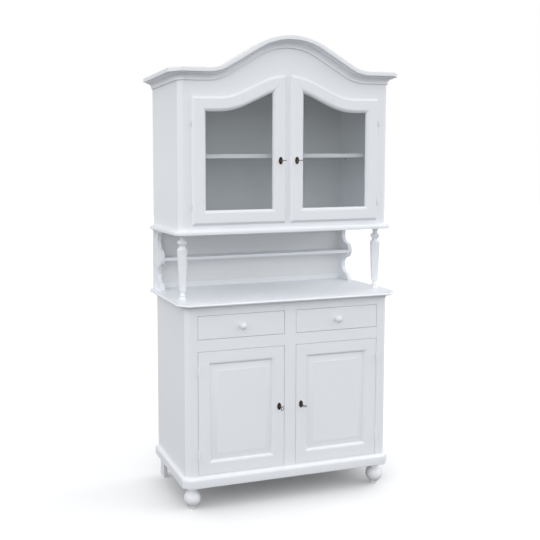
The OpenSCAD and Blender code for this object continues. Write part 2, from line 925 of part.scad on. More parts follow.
module cornice_returns() {
    color(white) translate([0, 0, shoulder_z]) both()
        side_length(upper_half, upper_y, upper_cant, cornice_h)
            moulded_slab(upper_half, upper_y, upper_cant) cornice_section(2 * upper_w);
}

module display_shelf() {
    color(inner_white) board(
        [shelf_play - upper_side_x, upper_rail_y + shelf_setback, shelf_z - display_shelf_t],
        [upper_side_x - shelf_play, panel_y - shelf_play, shelf_z]);
}

// Hinges: the lower knuckle and its pin stay on the post, the upper knuckle turns with the door
module hinge_frame_knuckles() {
    color(white) both() {
        for (z = door_hinges) {
            translate([hinge_x, hinge_y, z]) frame_knuckle(hinge_r, knuckle_h);
            lower_frame_shank(z, 0);
        }
        for (z = glass_hinges) {
            translate([small_hinge_x, small_hinge_y, z]) frame_knuckle(small_hinge_r, small_knuckle_h);
            upper_frame_shank(z, 0);
        }
    }
}

module frame_knuckle(r, h) {
    rotate_extrude() {
        translate([0, -h]) square([r, h]);
        knuckle_tip(r, -h, -1);
    }
    cylinder(r = pin_r, h = h - pin_cover);
}

module door_knuckle(r, h) {
    rotate_extrude() difference() {
        union() {
            translate([0, knuckle_gap]) square([r, h - knuckle_gap]);
            knuckle_tip(r, h, 1);
        }
        translate([-1, 0]) square([1 + pin_r + pin_play, h - 1]);
    }
}

module knuckle_tip(r, z, way) {
    intersection() {
        translate([0, z + way * knuckle_tip_off * r]) circle(knuckle_tip_part * r);
        translate([0, way > 0 ? z - 0.5 : z - 2 * r]) square([r, 2 * r + 0.5]);
    }
}

// A screwed-in shank. It starts inside the knuckle's wall, clear of the pin.
module shank(x, y, z, r, turn, grow) {
    start = r - shank_root;
    translate([x, y, z]) rotate([0, 0, turn]) rotate([0, 90, 0]) translate([0, 0, start])
        cylinder(r = shank_r + grow, h = shank_in - start + grow);
}
module lower_frame_shank(z, grow) shank(hinge_x, hinge_y, z - knuckle_h / 2, hinge_r, 45, grow);
module lower_door_shank(z, grow) shank(hinge_x, hinge_y, z + knuckle_h / 2, hinge_r, 135, grow);
module upper_frame_shank(z, grow) {
    shank(small_hinge_x, small_hinge_y, z - small_knuckle_h / 2, small_hinge_r, 90, grow);
}
module upper_door_shank(z, grow) {
    shank(small_hinge_x, small_hinge_y, z + small_knuckle_h / 2, small_hinge_r, 180, grow);
}

// Drawers
module drawer_front(side) {
    color(white) on_side(side) difference() {
        board([front_x0, front_y, drawer_z], [front_x1, rail_y, drawer_top_z]);
        translate([knob_x, front_y - 1, knob_z]) rotate([-90, 0, 0])
            cylinder(r = tenon_r + hole_play, h = tenon_len + 1 + hole_play);
    }
}

module drawer_box(side) {
    end_y = rail_y + drawer_len;
    t = drawer_side_t;
    floor_z = box_z + groove_z;
    color(inner_white) on_side(side) {
        difference() {
            union() {
                board([box_x0, rail_y, box_z], [box_x0 + t, end_y, box_z + drawer_side_h]);
                board([box_x1 - t, rail_y, box_z], [box_x1, end_y, box_z + drawer_side_h]);
            }
            board([box_x0 + t - groove_deep, rail_y - 1, floor_z],
                [box_x1 - t + groove_deep, end_y + 1, floor_z + drawer_bottom_t]);
        }
        board([box_x0 + t, end_y - t, floor_z + drawer_bottom_t],
            [box_x1 - t, end_y, box_z + drawer_side_h - drawer_back_low]);
        board([box_x0 + t - groove_deep + hole_play, rail_y, floor_z + hole_play],
            [box_x1 - t + groove_deep - hole_play, end_y, floor_z + drawer_bottom_t - hole_play]);
    }
}

module knob(side) {
    r = knob_d / 2;
    dome_h = knob_dome * r;
    dome_r = (r * r + dome_h * dome_h) / (2 * dome_h);
    rim = knob_out - dome_h;
    color(white) on_side(side) translate([knob_x, front_y, knob_z]) rotate([90, 0, 0]) rotate_extrude() {
        polygon([
            [0, -tenon_len], [tenon_r, -tenon_len], [tenon_r, 0], [knob_foot * r, 0], [knob_foot * r, 2],
            [knob_neck * r, 4], [knob_neck * r, rim - 7], [knob_dome * r, rim - 4], [r - 1, rim - 1],
            [r, rim], [0, rim]
        ]);
        intersection() {
            translate([0, knob_out - dome_r]) circle(dome_r);
            translate([0, rim - 0.5]) square([r, dome_h + 1]);
        }
    }
}

// Four bars of one section round a rectangle, mitred; the section's x is inwards from the edge
module mitred_frame(x0, x1, z0, z1, y, w) {
    m = 1;
    mitred([[x0 - m, z0 - m], [x1 + m, z0 - m], [x1 - w, z0 + w], [x0 + w, z0 + w]], -glue_line)
        translate([x0, y, z0]) frame_bar(x1 - x0) children();
    mitred([[x0 - m, z1 + m], [x1 + m, z1 + m], [x1 - w, z1 - w], [x0 + w, z1 - w]], glue_line)
        translate([x1, y, z1]) rotate([0, 180, 0]) frame_bar(x1 - x0) children();
    mitred([[x0 - m, z0 - m], [x0 + w, z0 + w], [x0 + w, z1 - w], [x0 - m, z1 + m]])
        translate([x0, y, z1]) rotate([0, 90, 0]) frame_bar(z1 - z0) children();
    mitred([[x1 + m, z0 - m], [x1 - w, z0 + w], [x1 - w, z1 - w], [x1 + m, z1 + m]])
        translate([x1, y, z0]) rotate([0, -90, 0]) frame_bar(z1 - z0) children();
}

// A bar cut to an outline between its mitres, which draws back by a glue line
module mitred(outline, draw_back = 0) {
    intersection() {
        children();
        translate([0, 0, draw_back]) stand(-base_d, 2 * base_d) polygon(outline);
    }
}

// The moulding inside a door's frame, taken off the section of a square bar
module stick_cut(flat, face, deep, w) {
    r = w - stick_foot;
    difference() {
        translate([flat, face - deep]) square([w + 1, deep + 1]);
        intersection() {
            translate([flat + stick_quirk, face - stick_step - r]) circle(r);
            translate([flat - 1, face - deep - 1]) square([w, deep + 1]);
        }
        translate([flat - 1, face - deep - 1]) square([1 + stick_quirk, deep + 1 - stick_step]);
    }
}

module lower_door(side) {
    w = door_frame_w + stick_w;
    groove_y = -stick_deep - stick_step - panel_groove;
    color(white) on_side(side) difference() {
        mitred_frame(front_x0, front_x1, door_z, door_top_z, front_y, w) difference() {
            translate([0, -front_t]) square([w, front_t]);
            stick_cut(door_frame_w, 0, stick_deep, stick_w);
            translate([w - panel_groove_deep, groove_y]) square([panel_groove_deep + 1, panel_groove]);
        }
        lock_pocket(key_x, rail_y, key_z, backset, front_t);
        for (z = door_hinges) lower_door_shank(z, hole_play);
    }
}

module lower_door_panel(side) {
    in = door_frame_w + stick_w - panel_lap;
    color(white) on_side(side) intersection() {
        translate([0, 0, door_z]) linear_extrude(door_h)
            raised_half(front_x0 + in, front_x1 - in);
        translate([front_x0, 0, 0]) rotate([90, 0, 90]) linear_extrude(front_w)
            raised_side(door_z + in, door_top_z - in);
    }
}

// Across the raised panel: a flat tongue, a bevel, a small step and the field
module raised_half(a, b) {
    back = front_y + panel_back;
    edge_y = back - panel_edge_t;
    field_y = back - panel_t;
    field_in = panel_lap + bevel_w;
    polygon([
        [a, back], [a, edge_y], [a + panel_lap, edge_y], [a + field_in, field_y + panel_step],
        [a + field_in, field_y], [b - field_in, field_y], [b - field_in, field_y + panel_step],
        [b - panel_lap, edge_y], [b, edge_y], [b, back]
    ]);
}

// The same, with the depth along the first axis
module raised_side(a, b) mirror([1, -1]) raised_half(a, b);

module lower_door_knuckles(side) {
    color(white) on_side(side) for (z = door_hinges) {
        translate([hinge_x, hinge_y, z]) door_knuckle(hinge_r, knuckle_h);
        lower_door_shank(z, 0);
    }
}

// Glass doors. Their frame's section is drawn with the post's face at 0.
module glass_frame_section() {
    w = sight;
    difference() {
        polygon([
            [0, 0], [0, lip_edge_t], [lip_bevel, lip_out], [w, lip_out], [w, glass_front],
            [w - rebate, glass_front], [w - rebate, -door_back], [inset_gap, -door_back], [inset_gap, 0]
        ]);
        stick_cut(glass_frame_w, lip_out, stick_deep, stick_w + 1);
    }
}

module bead_section() {
    high = glass_front - glass_t - bead_gap;
    polygon([
        [sight - rebate + hole_play, high], [sight, high], [sight, high - bead_nose],
        [sight - bead_bevel, -door_back], [sight - rebate + hole_play, -door_back]
    ]);
}

// Four bars round a glass door: three straight ones and the curved top. The mitre at the crown runs
// through the points where the members' inner and outer lines would meet.
module curved_frame() {
    m = 1;
    w = sight + 1;
    x0 = lip_x0;
    x1 = lip_x1;
    z1 = lip_top_z;
    crown_z = lip_top_z + door_rise;
    out_point = crown_point(lip_bevel);
    in_point = crown_point(w - lip_bevel);
    along = (out_point - in_point) / (in_point.x - out_point.x);
    top_in = in_point - lip_bevel * along;
    top_out = out_point + (lip_bevel + 2 * m) * along;
    mitred([[x0 - m, lip_z - m], [x1 + m, lip_z - m], [x1 - w, lip_z + w], [x0 + w, lip_z + w]], -glue_line)
        translate([x0, upper_y, lip_z]) frame_bar(x1 - x0) children();
    mitred([[x1 + m, lip_z - m], [x1 - w, lip_z + w], [x1 - w, z1 - w], [x1 + m, z1 + m]])
        translate([x1, upper_y, lip_z]) rotate([0, -90, 0]) frame_bar(z1 - lip_z) children();
    mitred([[x0 - m, lip_z - m], [x0 + w, lip_z + w], top_in, top_out, [x0 - m, top_out.y]])
        translate([x0, upper_y, crown_z]) rotate([0, 90, 0]) frame_bar(crown_z - lip_z) children();
    mitred([
        top_out, top_in, [top_in.x, z1 - w], [x1 - w, z1 - w], [x1 + m, z1 + m], [x1 + m, crown_z + m],
        [x0, crown_z + m]
    ], glue_line) translate([0, upper_y, z1]) curved_top() children();
}

// A point on the crown's arc that lies as far below the top line as it is inside the edge
function crown_point(in) = [
    lip_x0 + in,
    lip_top_z + door_rise - door_crown_r + sqrt(pow(door_crown_r - in, 2) - pow(lip_x0 + in, 2))
];

module curved_top() {
    rise_sweep(door_rise, door_run, door_slope, door_crown_r) mirror([1, 0]) children();
    translate([lip_x1, 0, 0]) rotate([0, 180, 0]) frame_bar(lip_x1 - door_run) children();
}

module glass_door(side) {
    color(white) on_side(side) {
        difference() {
            curved_frame() glass_frame_section();
            lock_pocket(glass_key_x, upper_y + door_back, glass_key_z, glass_lock_edge, door_t);
            for (z = glass_hinges) upper_door_shank(z, hole_play);
        }
        curved_frame() bead_section();
    }
}

module glass(side) {
    in = sight - rebate + hole_play;
    color([0.75, 0.82, 0.85, 0.35]) on_side(side)
        stand(upper_y - glass_front, glass_t) intersection() {
            translate([lip_x0 + in, lip_z + in])
                square([lip_x1 - lip_x0 - 2 * in, glass_door_h + door_rise]);
            door_curve(in);
        }
}

module glass_knuckles(side) {
    color(white) on_side(side) for (z = glass_hinges) {
        translate([small_hinge_x, small_hinge_y, z]) door_knuckle(small_hinge_r, small_knuckle_h);
        upper_door_shank(z, 0);
    }
}

// Locks. Each is drawn about its keyhole, with the door's back at y = 0 and its closing edge at
// -edge. The case is let into the door's back and stands proud of it, and the bolt runs behind the
// stile.
module key_way(from_y, to_y) {
    translate([0, to_y, 0]) rotate([90, 0, 0]) cylinder(r = key_hole_r, h = to_y - from_y);
    board([-key_slot_w / 2, from_y, -key_slot_h], [key_slot_w / 2, to_y, 0]);
}

module lock_pocket(x, back, z, edge, door_thick) {
    g = hole_play;
    translate([x, back, z]) {
        board([case_in - edge - g, -case_in_door - g, -lock_h / 2 - g],
            [case_in - edge + lock_w + g, 1, lock_h / 2 + g]);
        key_way(-door_thick - 1, 0);
    }
}

module lock(x, back, z, edge, door_thick) {
    translate([x, back, z]) {
        difference() {
            board([case_in - edge, -case_in_door, -lock_h / 2],
                [case_in - edge + lock_w, case_out, lock_h / 2]);
            key_way(-case_in_door - 1, key_way_in - case_in_door);
            translate([0, bolt_y, 0]) rotate([90, 0, 0])
                cylinder(r = chamber_r, h = bolt_y + case_in_door - chamber_wall);
            board([-edge - 1, bolt_y - play, -bolt_h / 2 - play],
                [bolt_len - edge + 1, bolt_y + bolt_t + play, bolt_h / 2 + play]);
        }
        difference() {
            translate([0, -door_thick, 0]) rotate([90, 0, 0])
                linear_extrude(escutcheon_t) oval(escutcheon_w, escutcheon_h);
            key_way(-door_thick - escutcheon_t - 1, -door_thick + 1);
        }
    }
}

// An oval of four arcs
module oval(w, h) {
    end_r = oval_end * w;
    end_z = h / 2 - end_r;
    side_r = (pow(w / 2, 2) + pow(end_z, 2) - end_r * end_r) / (w - 2 * end_r);
    side_x0 = side_r - w / 2;
    band = end_z * side_r / (side_r - end_r);
    intersection() {
        translate([-side_x0, 0]) circle(side_r);
        translate([side_x0, 0]) circle(side_r);
        square([w, 2 * band], center = true);
    }
    for (s = [-1, 1]) translate([0, s * end_z]) circle(end_r);
}

module bolt(x, back, z, edge) {
    color(steel) translate([x, back, z])
        board([bolt_short - edge, bolt_y, -bolt_h / 2], [bolt_len - edge, bolt_y + bolt_t, bolt_h / 2]);
}

module key(x, back, z, door_thick, turn) {
    tip = bolt_y - 2 * play;
    bow_y = -door_thick - key_out + bow_d / 2;
    shank_end = bow_y + bow_d / 2 - bow_wire_r;
    color(steel) translate([x, back, z]) rotate([0, turn, 0]) {
        translate([0, tip, 0]) rotate([90, 0, 0]) cylinder(r = key_r, h = tip - shank_end);
        translate([0, -door_thick - escutcheon_t - 1, 0]) rotate([90, 0, 0])
            cylinder(r = key_collar_r, h = key_collar_h);
        board([0, chamber_wall + play - case_in_door, -bit_t / 2], [bit_len, tip, bit_t / 2]);
        translate([0, bow_y, 0]) rotate_extrude()
            translate([bow_d / 2 - bow_wire_r, 0]) circle(bow_wire_r);
    }
}

module lower_lock(side) color(burnished) on_side(side) lock(key_x, rail_y, key_z, backset, front_t);
module lower_bolt(side) on_side(side) bolt(key_x, rail_y, key_z, backset);
module lower_key(side, turn) on_side(side) key(key_x, rail_y, key_z, front_t, turn);
module glass_lock(side) color(burnished) on_side(side)
    lock(glass_key_x, upper_y + door_back, glass_key_z, glass_lock_edge, door_t);
module glass_bolt(side) on_side(side)
    bolt(glass_key_x, upper_y + door_back, glass_key_z, glass_lock_edge);
module glass_key(side) on_side(side)
    key(glass_key_x, upper_y + door_back, glass_key_z, door_t, 0);

base_sides();
base_bottom();
base_partition();
base_shelves();
shelf_pins();
corner_posts();
mid_stiles();
base_rails();
plinth_moulding();
bun_feet();
rear_feet();
drawer_runners();
table_top();
cove_moulding();
scroll_brackets();
back_panels();
niche_back_strip();
niche_shelf();
turned_columns();
moulded_board();
upper_sides();
upper_roof();
upper_posts();
upper_bottom_rail();
arched_fascia();
cornice_arch();
cornice_returns();
display_shelf();
hinge_frame_knuckles();
drawer_front(-1);  // left_drawer_front
drawer_box(-1);  // left_drawer_box
knob(-1);  // left_knob
drawer_front(1);  // right_drawer_front
drawer_box(1);  // right_drawer_box
knob(1);  // right_knob
lower_door(-1);  // left_door
lower_door_panel(-1);  // left_door_panel
lower_door_knuckles(-1);  // left_door_knuckles
lower_lock(-1);  // left_door_lock
lower_bolt(-1);  // left_bolt
lower_key(-1, left_key_turn);  // left_key
lower_door(1);  // right_door
lower_door_panel(1);  // right_door_panel
lower_door_knuckles(1);  // right_door_knuckles
lower_lock(1);  // right_door_lock
lower_bolt(1);  // right_bolt
lower_key(1, 0);  // right_key
glass_door(-1);  // left_glass_door
glass(-1);  // left_glass
glass_knuckles(-1);  // left_glass_knuckles
glass_lock(-1);  // left_glass_lock
glass_bolt(-1);  // left_glass_bolt
glass_key(-1);  // left_glass_key
glass_door(1);  // right_glass_door
glass(1);  // right_glass
glass_knuckles(1);  // right_glass_knuckles
glass_lock(1);  // right_glass_lock
glass_bolt(1);  // right_glass_bolt
glass_key(1);  // right_glass_key
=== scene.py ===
# %% [markdown]
# # A painted display cabinet
# The cabinet has two parts: a base with drawers and panelled doors, and a glazed top on turned
# columns under an arched cornice. Its solids come in as a fixed frame, because the CAD program
# keeps their sizes, joints and weights. They could be shown as they are, but their edges are knife
# sharp and they have no finish. So each step below gives one kind of piece its finished shape or
# its finish. All lengths are metres, with Z up and the viewer in front of the negative Y side.

# %% Load the solids
import json
from math import asin, cos, pi, radians, sin, sqrt

import bmesh
import bpy
from mathutils import Matrix, Vector


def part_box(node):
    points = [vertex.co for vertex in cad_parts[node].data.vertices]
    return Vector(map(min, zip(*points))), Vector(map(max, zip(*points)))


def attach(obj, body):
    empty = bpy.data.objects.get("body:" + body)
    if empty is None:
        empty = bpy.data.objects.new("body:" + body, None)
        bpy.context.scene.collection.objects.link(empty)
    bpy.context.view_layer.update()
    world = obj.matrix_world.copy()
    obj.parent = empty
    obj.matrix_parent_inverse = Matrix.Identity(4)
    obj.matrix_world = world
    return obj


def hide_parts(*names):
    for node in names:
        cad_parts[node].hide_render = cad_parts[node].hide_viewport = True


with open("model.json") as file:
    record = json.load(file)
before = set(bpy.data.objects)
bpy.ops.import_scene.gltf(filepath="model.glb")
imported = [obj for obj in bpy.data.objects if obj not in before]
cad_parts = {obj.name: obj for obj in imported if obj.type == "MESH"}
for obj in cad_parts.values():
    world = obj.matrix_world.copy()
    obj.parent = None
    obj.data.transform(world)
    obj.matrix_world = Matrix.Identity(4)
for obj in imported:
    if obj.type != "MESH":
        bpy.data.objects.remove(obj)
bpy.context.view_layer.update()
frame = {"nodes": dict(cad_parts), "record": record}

nodes = frame["nodes"]
record = frame["record"]
slot_of = {part["node"]: part["material_slot"] for part in record["subparts"]}
body_of = {node: body for body, names in record["behaviour"]["bodies"].items() for node in names}

# %% [markdown]
# ## The camera
# The photograph was taken from the left of the cabinet, at head height and looking slightly down.
# A camera can be moved by eye until the picture looks right, but the cabinet's straight edges give
# its place exactly, so the values below come from a fit to them. The photograph is cut out of a
# wider view. The two shifts say where, and they leave the perspective alone, as turning wouldn't.

# %% Place the camera
SENSOR_MM, LENS_MM = 36, 49.36
SHIFT_RIGHT, SHIFT_UP = 0.2186, -0.0685
CAMERA_PLACE = (-1.4968, -3.2134, 1.5202)
YAW, PITCH, ROLL = 0.275, 0.086, -0.011  # radians to the right, down and about its own axis


def add_object(name, data):
    """A new object in the scene."""
    thing = bpy.data.objects.new(name, data)
    bpy.context.collection.objects.link(thing)
    return thing


def looking(yaw, pitch, roll):
    """The camera's turn, made of the directions of its side, its top and its back."""
    ahead = Vector((sin(yaw) * cos(pitch), cos(yaw) * cos(pitch), -sin(pitch)))
    right = Vector((cos(yaw), -sin(yaw), 0))
    up = right.cross(ahead)
    side = right * cos(roll) + up * sin(roll)
    top = up * cos(roll) - right * sin(roll)
    return Matrix((side, top, -ahead)).transposed().to_4x4()


camera_data = bpy.data.cameras.new("photo_camera")
camera_data.sensor_width, camera_data.lens = SENSOR_MM, LENS_MM
camera_data.shift_x, camera_data.shift_y = SHIFT_RIGHT, SHIFT_UP
camera = add_object("photo_camera", camera_data)
camera.matrix_world = Matrix.Translation(CAMERA_PLACE) @ looking(YAW, PITCH, ROLL)
bpy.context.scene.camera = camera
bpy.context.scene.view_settings.view_transform = "Standard"
print("camera at", tuple(round(v, 3) for v in camera.location))

# %% [markdown]
# ## Nodes by name
# Materials and geometry trees are both made of nodes. They could be drawn by hand in the node
# editor, but a script keeps every value in sight and gives the same tree each time. The first
# helper adds a node with its settings and inputs in one line. An input is named by its socket, with
# an underscore for a space, or by its place, such as _0 for the first.

# %% Helpers for all trees
def add(tree, kind, settings=None, **inputs):
    """A node with its settings and inputs; an input is a value or another node's output."""
    node = tree.nodes.new(kind)
    for name, value in (settings or {}).items():
        setattr(node, name, value)
    for name, value in inputs.items():
        key = int(name[1:]) if name[0] == "_" else name.replace("_", " ")
        if isinstance(value, bpy.types.NodeSocket):
            tree.links.new(value, node.inputs[key])
        else:
            node.inputs[key].default_value = value
    return node


def calc(tree, operation, *values):
    """The result of a Math node."""
    inputs = {f"_{place}": value for place, value in enumerate(values)}
    return add(tree, "ShaderNodeMath", {"operation": operation}, **inputs).outputs[0]


def remap(tree, value, old, new):
    """A value carried from an old range to a new one."""
    return add(tree, "ShaderNodeMapRange", Value=value, From_Min=old[0], From_Max=old[1],
               To_Min=new[0], To_Max=new[1]).outputs[0]


print("helpers for all trees:", ", ".join(f.__name__ for f in (add, calc, remap)))

# %% [markdown]
# ## Patterns for the finishes
# No real finish is the same all over. Painted pictures could show that, but each piece would have
# to be unwrapped for them, and they blur from near. A noise pattern is a formula in space. It needs
# no unwrapping, and it stays sharp. It reads Object coordinates, so a piece carries its pattern
# along when it moves.

# %% Helpers for materials
NOISE_RANGE = (0.3, 0.7)  # nearly all of a noise pattern's values lie between these


def new_material(name):
    """A new material and its empty tree."""
    material = bpy.data.materials.new(name)
    material.use_nodes = True
    material.node_tree.nodes.clear()
    return material, material.node_tree


def place_on_piece(tree):
    """The place on the piece that a pattern reads."""
    return add(tree, "ShaderNodeTexCoord").outputs["Object"]


def finish_with(tree, shader):
    """Joins a shader node to the material's output."""
    add(tree, "ShaderNodeOutputMaterial", Surface=shader.outputs[0])


def noise(tree, where, scale, detail=3.0, roughness=0.5):
    """The value of a noise pattern; a larger scale gives a finer pattern."""
    return add(tree, "ShaderNodeTexNoise", Vector=where, Scale=scale, Detail=detail,
               Roughness=roughness).outputs[0]


def blend_colours(tree, factor, first, second):
    """A colour between two; sockets 6 and 7 of the Mix node are the two colours."""
    return add(tree, "ShaderNodeMix", {"data_type": "RGBA"}, _0=factor, _6=(*first, 1),
               _7=(*second, 1)).outputs[2]


print("helpers for materials:",
      ", ".join(f.__name__ for f in (new_material, place_on_piece, finish_with, noise,
                                     blend_colours)))

# %% [markdown]
# ## White lacquer
# The wood is sprayed with a satin white lacquer. It could be one flat white, but that looks like
# plastic. So three patterns break it up: a broad one that shifts the white by about two parts in a
# hundred, a fine ripple like the skin of sprayed paint, and short marks along the height from
# sanding between coats. The gloss wanders a little too. The insides are duller, and their white is
# made a little darker as painted shade, for the shade that falls inside the cabinet.

# %% Lacquer materials
CLOUD_SCALE, SKIN_SCALE, GLOSS_SCALE = 2.3, 260, 9
SANDING_SCALE = (150, 150, 6)  # narrow across, and long up the height
SANDING_SHARE = 0.5
SKIN_DEPTH = 0.0004


def lacquer(name, light, dark, gloss, rough, ripple):
    """Satin paint with a clouded white, a rippled and sanded skin, and an uneven gloss."""
    material, tree = new_material(name)
    where = place_on_piece(tree)
    clouds = remap(tree, noise(tree, where, CLOUD_SCALE, detail=4), NOISE_RANGE, (0, 1))
    colour = blend_colours(tree, clouds, dark, light)
    skin = noise(tree, where, SKIN_SCALE, detail=2)
    drawn_out = add(tree, "ShaderNodeMapping", Vector=where, Scale=SANDING_SCALE).outputs[0]
    sanding = noise(tree, drawn_out, 1.0)
    height = calc(tree, "MULTIPLY_ADD", sanding, SANDING_SHARE, skin)
    bump = add(tree, "ShaderNodeBump", Height=height, Strength=ripple, Distance=SKIN_DEPTH)
    roughness = remap(tree, noise(tree, where, GLOSS_SCALE), NOISE_RANGE, (gloss, rough))
    finish_with(tree, add(tree, "ShaderNodeBsdfPrincipled", Base_Color=colour,
                          Roughness=roughness, Normal=bump.outputs[0]))
    return material


finishes = {
    "white_lacquer": lacquer("white_lacquer", light=(0.873, 0.891, 0.924),
                             dark=(0.853, 0.871, 0.904), gloss=0.3, rough=0.38, ripple=0.12),
    # a darker white here: painted shade for the shaded insides of the cabinet
    "inner_lacquer": lacquer("inner_lacquer", light=(0.82, 0.83, 0.84), dark=(0.8, 0.81, 0.82),
                             gloss=0.48, rough=0.58, ripple=0.2),
}
print("finishes:", ", ".join(finishes))

# %% [markdown]
# ## Glass
# The panes are clear with a faint grey-green tint. A plain see-through shader would be quick, but
# it has no reflections. A glass shader has them, but it bends light, and a path tracer then loses
# the light of the lamps behind it. So both are used: rays that carry the lamps' light go straight
# through, with a little lost, and the camera sees real glass.

# %% Glass material
GLASS_ROUGHNESS, GLASS_BENDING = 0.02, 1.5


def pane_glass(name, tint, through):
    """Glass to the eye, and a tinted opening to the light."""
    material, tree = new_material(name)
    glass = add(tree, "ShaderNodeBsdfPrincipled", Base_Color=(*tint, 1), Roughness=GLASS_ROUGHNESS,
                IOR=GLASS_BENDING, Transmission_Weight=1)
    clear = add(tree, "ShaderNodeBsdfTransparent", Color=(*through, 1))
    rays = add(tree, "ShaderNodeLightPath").outputs
    lighting = calc(tree, "MAXIMUM", rays["Is Shadow Ray"], rays["Is Diffuse Ray"])
    finish_with(tree, add(tree, "ShaderNodeMixShader", _0=lighting, _1=glass.outputs[0],
                          _2=clear.outputs[0]))
    return material


finishes["clear_glass"] = pane_glass("clear_glass", tint=(0.93, 0.955, 0.96),
                                     through=(0.85, 0.87, 0.88))
print("glass with", len(finishes["clear_glass"].node_tree.nodes), "nodes")

# %% [markdown]
# ## Metal
# The escutcheons are brass that was burnished nearly black, with the metal's warm colour showing
# where the bath took less. The keys, bolts and shelf pins are plain steel with a brushed skin. Each
# could have its own tree, but both are two colours mixed by a cloudy pattern, with a roughness that
# wanders too, so one recipe makes both and they stay alike.

# %% Metal materials
METAL_CLOUDS = (0.35, 0.65)  # narrower than the noise's range, so the two colours stand apart
WEAR_FINENESS = 3  # how much finer the gloss wanders than the colour does
BRUSH_SCALE, BRUSH_STRENGTH, BRUSH_DEPTH = 1800, 0.08, 0.0002


def metal(name, dark, light, scale, gloss, rough):
    """Metal with two clouded colours, a wandering gloss and a finely brushed skin."""
    material, tree = new_material(name)
    where = place_on_piece(tree)
    cloudy = noise(tree, where, scale, detail=5, roughness=0.6)
    clouds = remap(tree, cloudy, METAL_CLOUDS, (0, 1))
    colour = blend_colours(tree, clouds, dark, light)
    worn = noise(tree, where, WEAR_FINENESS * scale, detail=2)
    roughness = remap(tree, worn, NOISE_RANGE, (gloss, rough))
    brushed = noise(tree, where, BRUSH_SCALE, detail=2)
    bump = add(tree, "ShaderNodeBump", Height=brushed, Strength=BRUSH_STRENGTH,
               Distance=BRUSH_DEPTH)
    finish_with(tree, add(tree, "ShaderNodeBsdfPrincipled", Base_Color=colour,
                          Roughness=roughness, Metallic=1.0, Normal=bump.outputs[0]))
    return material


finishes["burnished_brass"] = metal("burnished_brass", dark=(0.035, 0.026, 0.022),
                                    light=(0.12, 0.075, 0.05), scale=160, gloss=0.32, rough=0.5)
finishes["key_steel"] = metal("key_steel", dark=(0.13, 0.125, 0.12), light=(0.24, 0.235, 0.23),
                              scale=220, gloss=0.3, rough=0.45)
print("finishes:", ", ".join(finishes))

# %% [markdown]
# ## Every solid gets its finish
# Each solid's record names its finish. Every piece could be modelled anew, but a solid whose shape
# is right can stay as it is and only take its material. That covers the boards inside, the panes,
# the pins and the bolts. The pieces made later replace the other solids.

# %% Dress the solids
for name, solid in nodes.items():
    solid.data.materials.clear()
    solid.data.materials.append(finishes[slot_of[name]])
print("dressed", {finish: list(slot_of.values()).count(finish) for finish in finishes})

# %% [markdown]
# ## How round each piece is
# No painted board has a knife edge: sandpaper and paint leave it round by about half a millimetre,
# and that small round catches a line of light. On the real cabinet it follows the tool: a plane for
# the carcass, whose boards lie flush and keep a hairline, sandpaper for what the hand touches, and
# a mould or a file for the metal. The widths could be set piece by piece, but they are easier to
# keep right in groups, so each group of pieces shares one width.

# %% List the widths
HAIRLINE, SANDED, BOX, KNOB, DOOR, DRAWER = 0.0003, 0.0008, 0.0006, 0.0005, 0.0007, 0.0012

sides = ("left", "right")
carcass = ("base_sides", "corner_posts", "mid_stiles", "base_rails", "rear_feet", "upper_sides",
           "upper_posts", "upper_bottom_rail", "arched_fascia", "back_panels", "upper_roof")
rounder = ("table_top", "moulded_board", "scroll_brackets", "niche_back_strip", "niche_shelf",
           "display_shelf", "base_shelves", "turned_columns", "bun_feet", "hinge_frame_knuckles")
on_each_side = {"drawer_front": DRAWER, "drawer_box": BOX, "knob": KNOB, "door": DOOR,
                "door_panel": SANDED, "glass_door": DOOR,
                **dict.fromkeys(("door_knuckles", "glass_knuckles", "door_lock", "glass_lock",
                                 "key", "glass_key"), HAIRLINE)}
widths = {**dict.fromkeys(carcass, HAIRLINE), **dict.fromkeys(rounder, SANDED),
          **{f"{side}_{name}": width for side in sides for name, width in on_each_side.items()}}
print(len(widths), "pieces, rounded by", 1000 * min(widths.values()), "to",
      1000 * max(widths.values()), "mm")

# %% [markdown]
# ## Whole faces from loose triangles
# The rounds could be cut in the CAD model, but there they would make every solid heavy. Blender can
# round a copy instead. A solid arrives as loose flat triangles, and rounding those would dent the
# flat wood between them. So a copy is first merged, and its flat faces are made whole.

# %% Merge a copy
SAME_CORNER = 3e-5
SAME_PLANE = radians(0.4)


def merged(mesh):
    """The mesh with its triangles joined and its flat faces made whole."""
    shape = bmesh.new()
    shape.from_mesh(mesh)
    bmesh.ops.remove_doubles(shape, verts=shape.verts, dist=SAME_CORNER)
    bmesh.ops.dissolve_limit(shape, angle_limit=SAME_PLANE, verts=shape.verts, edges=shape.edges)
    return shape


top = merged(nodes["table_top"].data)
print("table top:", len(nodes["table_top"].data.polygons), "triangles,", len(top.faces), "faces")
top.free()

# %% [markdown]
# ## Which edges are rounded
# A Bevel modifier could round every sharp edge by the same width, but thin steps and small parts
# would then cut into themselves. So each edge gets a weight, and one with little room beside it is
# rounded less. Edges at a glued mitre stay sharp and closed, because on the real doors the joint is
# filled and sanded flush.

# %% Weigh the edges
ROOM_SHARE = 0.4  # of the shortest neighbour's length, the most that a round takes
LEAST_ROUND = 0.1  # of the full width, below which an edge isn't worth rounding
SHARP = radians(34)
MITRE_X, MITRE_Y, MITRE_Z = (0.55, 0.85), 0.05, (0.5, 0.85)  # parts of a mitre face's normal


def room_beside(edge):
    """The length of the shortest edge that touches this one."""
    return min(other.calc_length() for vert in edge.verts for other in vert.link_edges)


def on_glued_mitre(face):
    """True for a face that is cut at about 45 degrees in the plane of a door."""
    x, y, z = (abs(part) for part in face.normal)
    return y < MITRE_Y and MITRE_X[0] < x < MITRE_X[1] and MITRE_Z[0] < z < MITRE_Z[1]


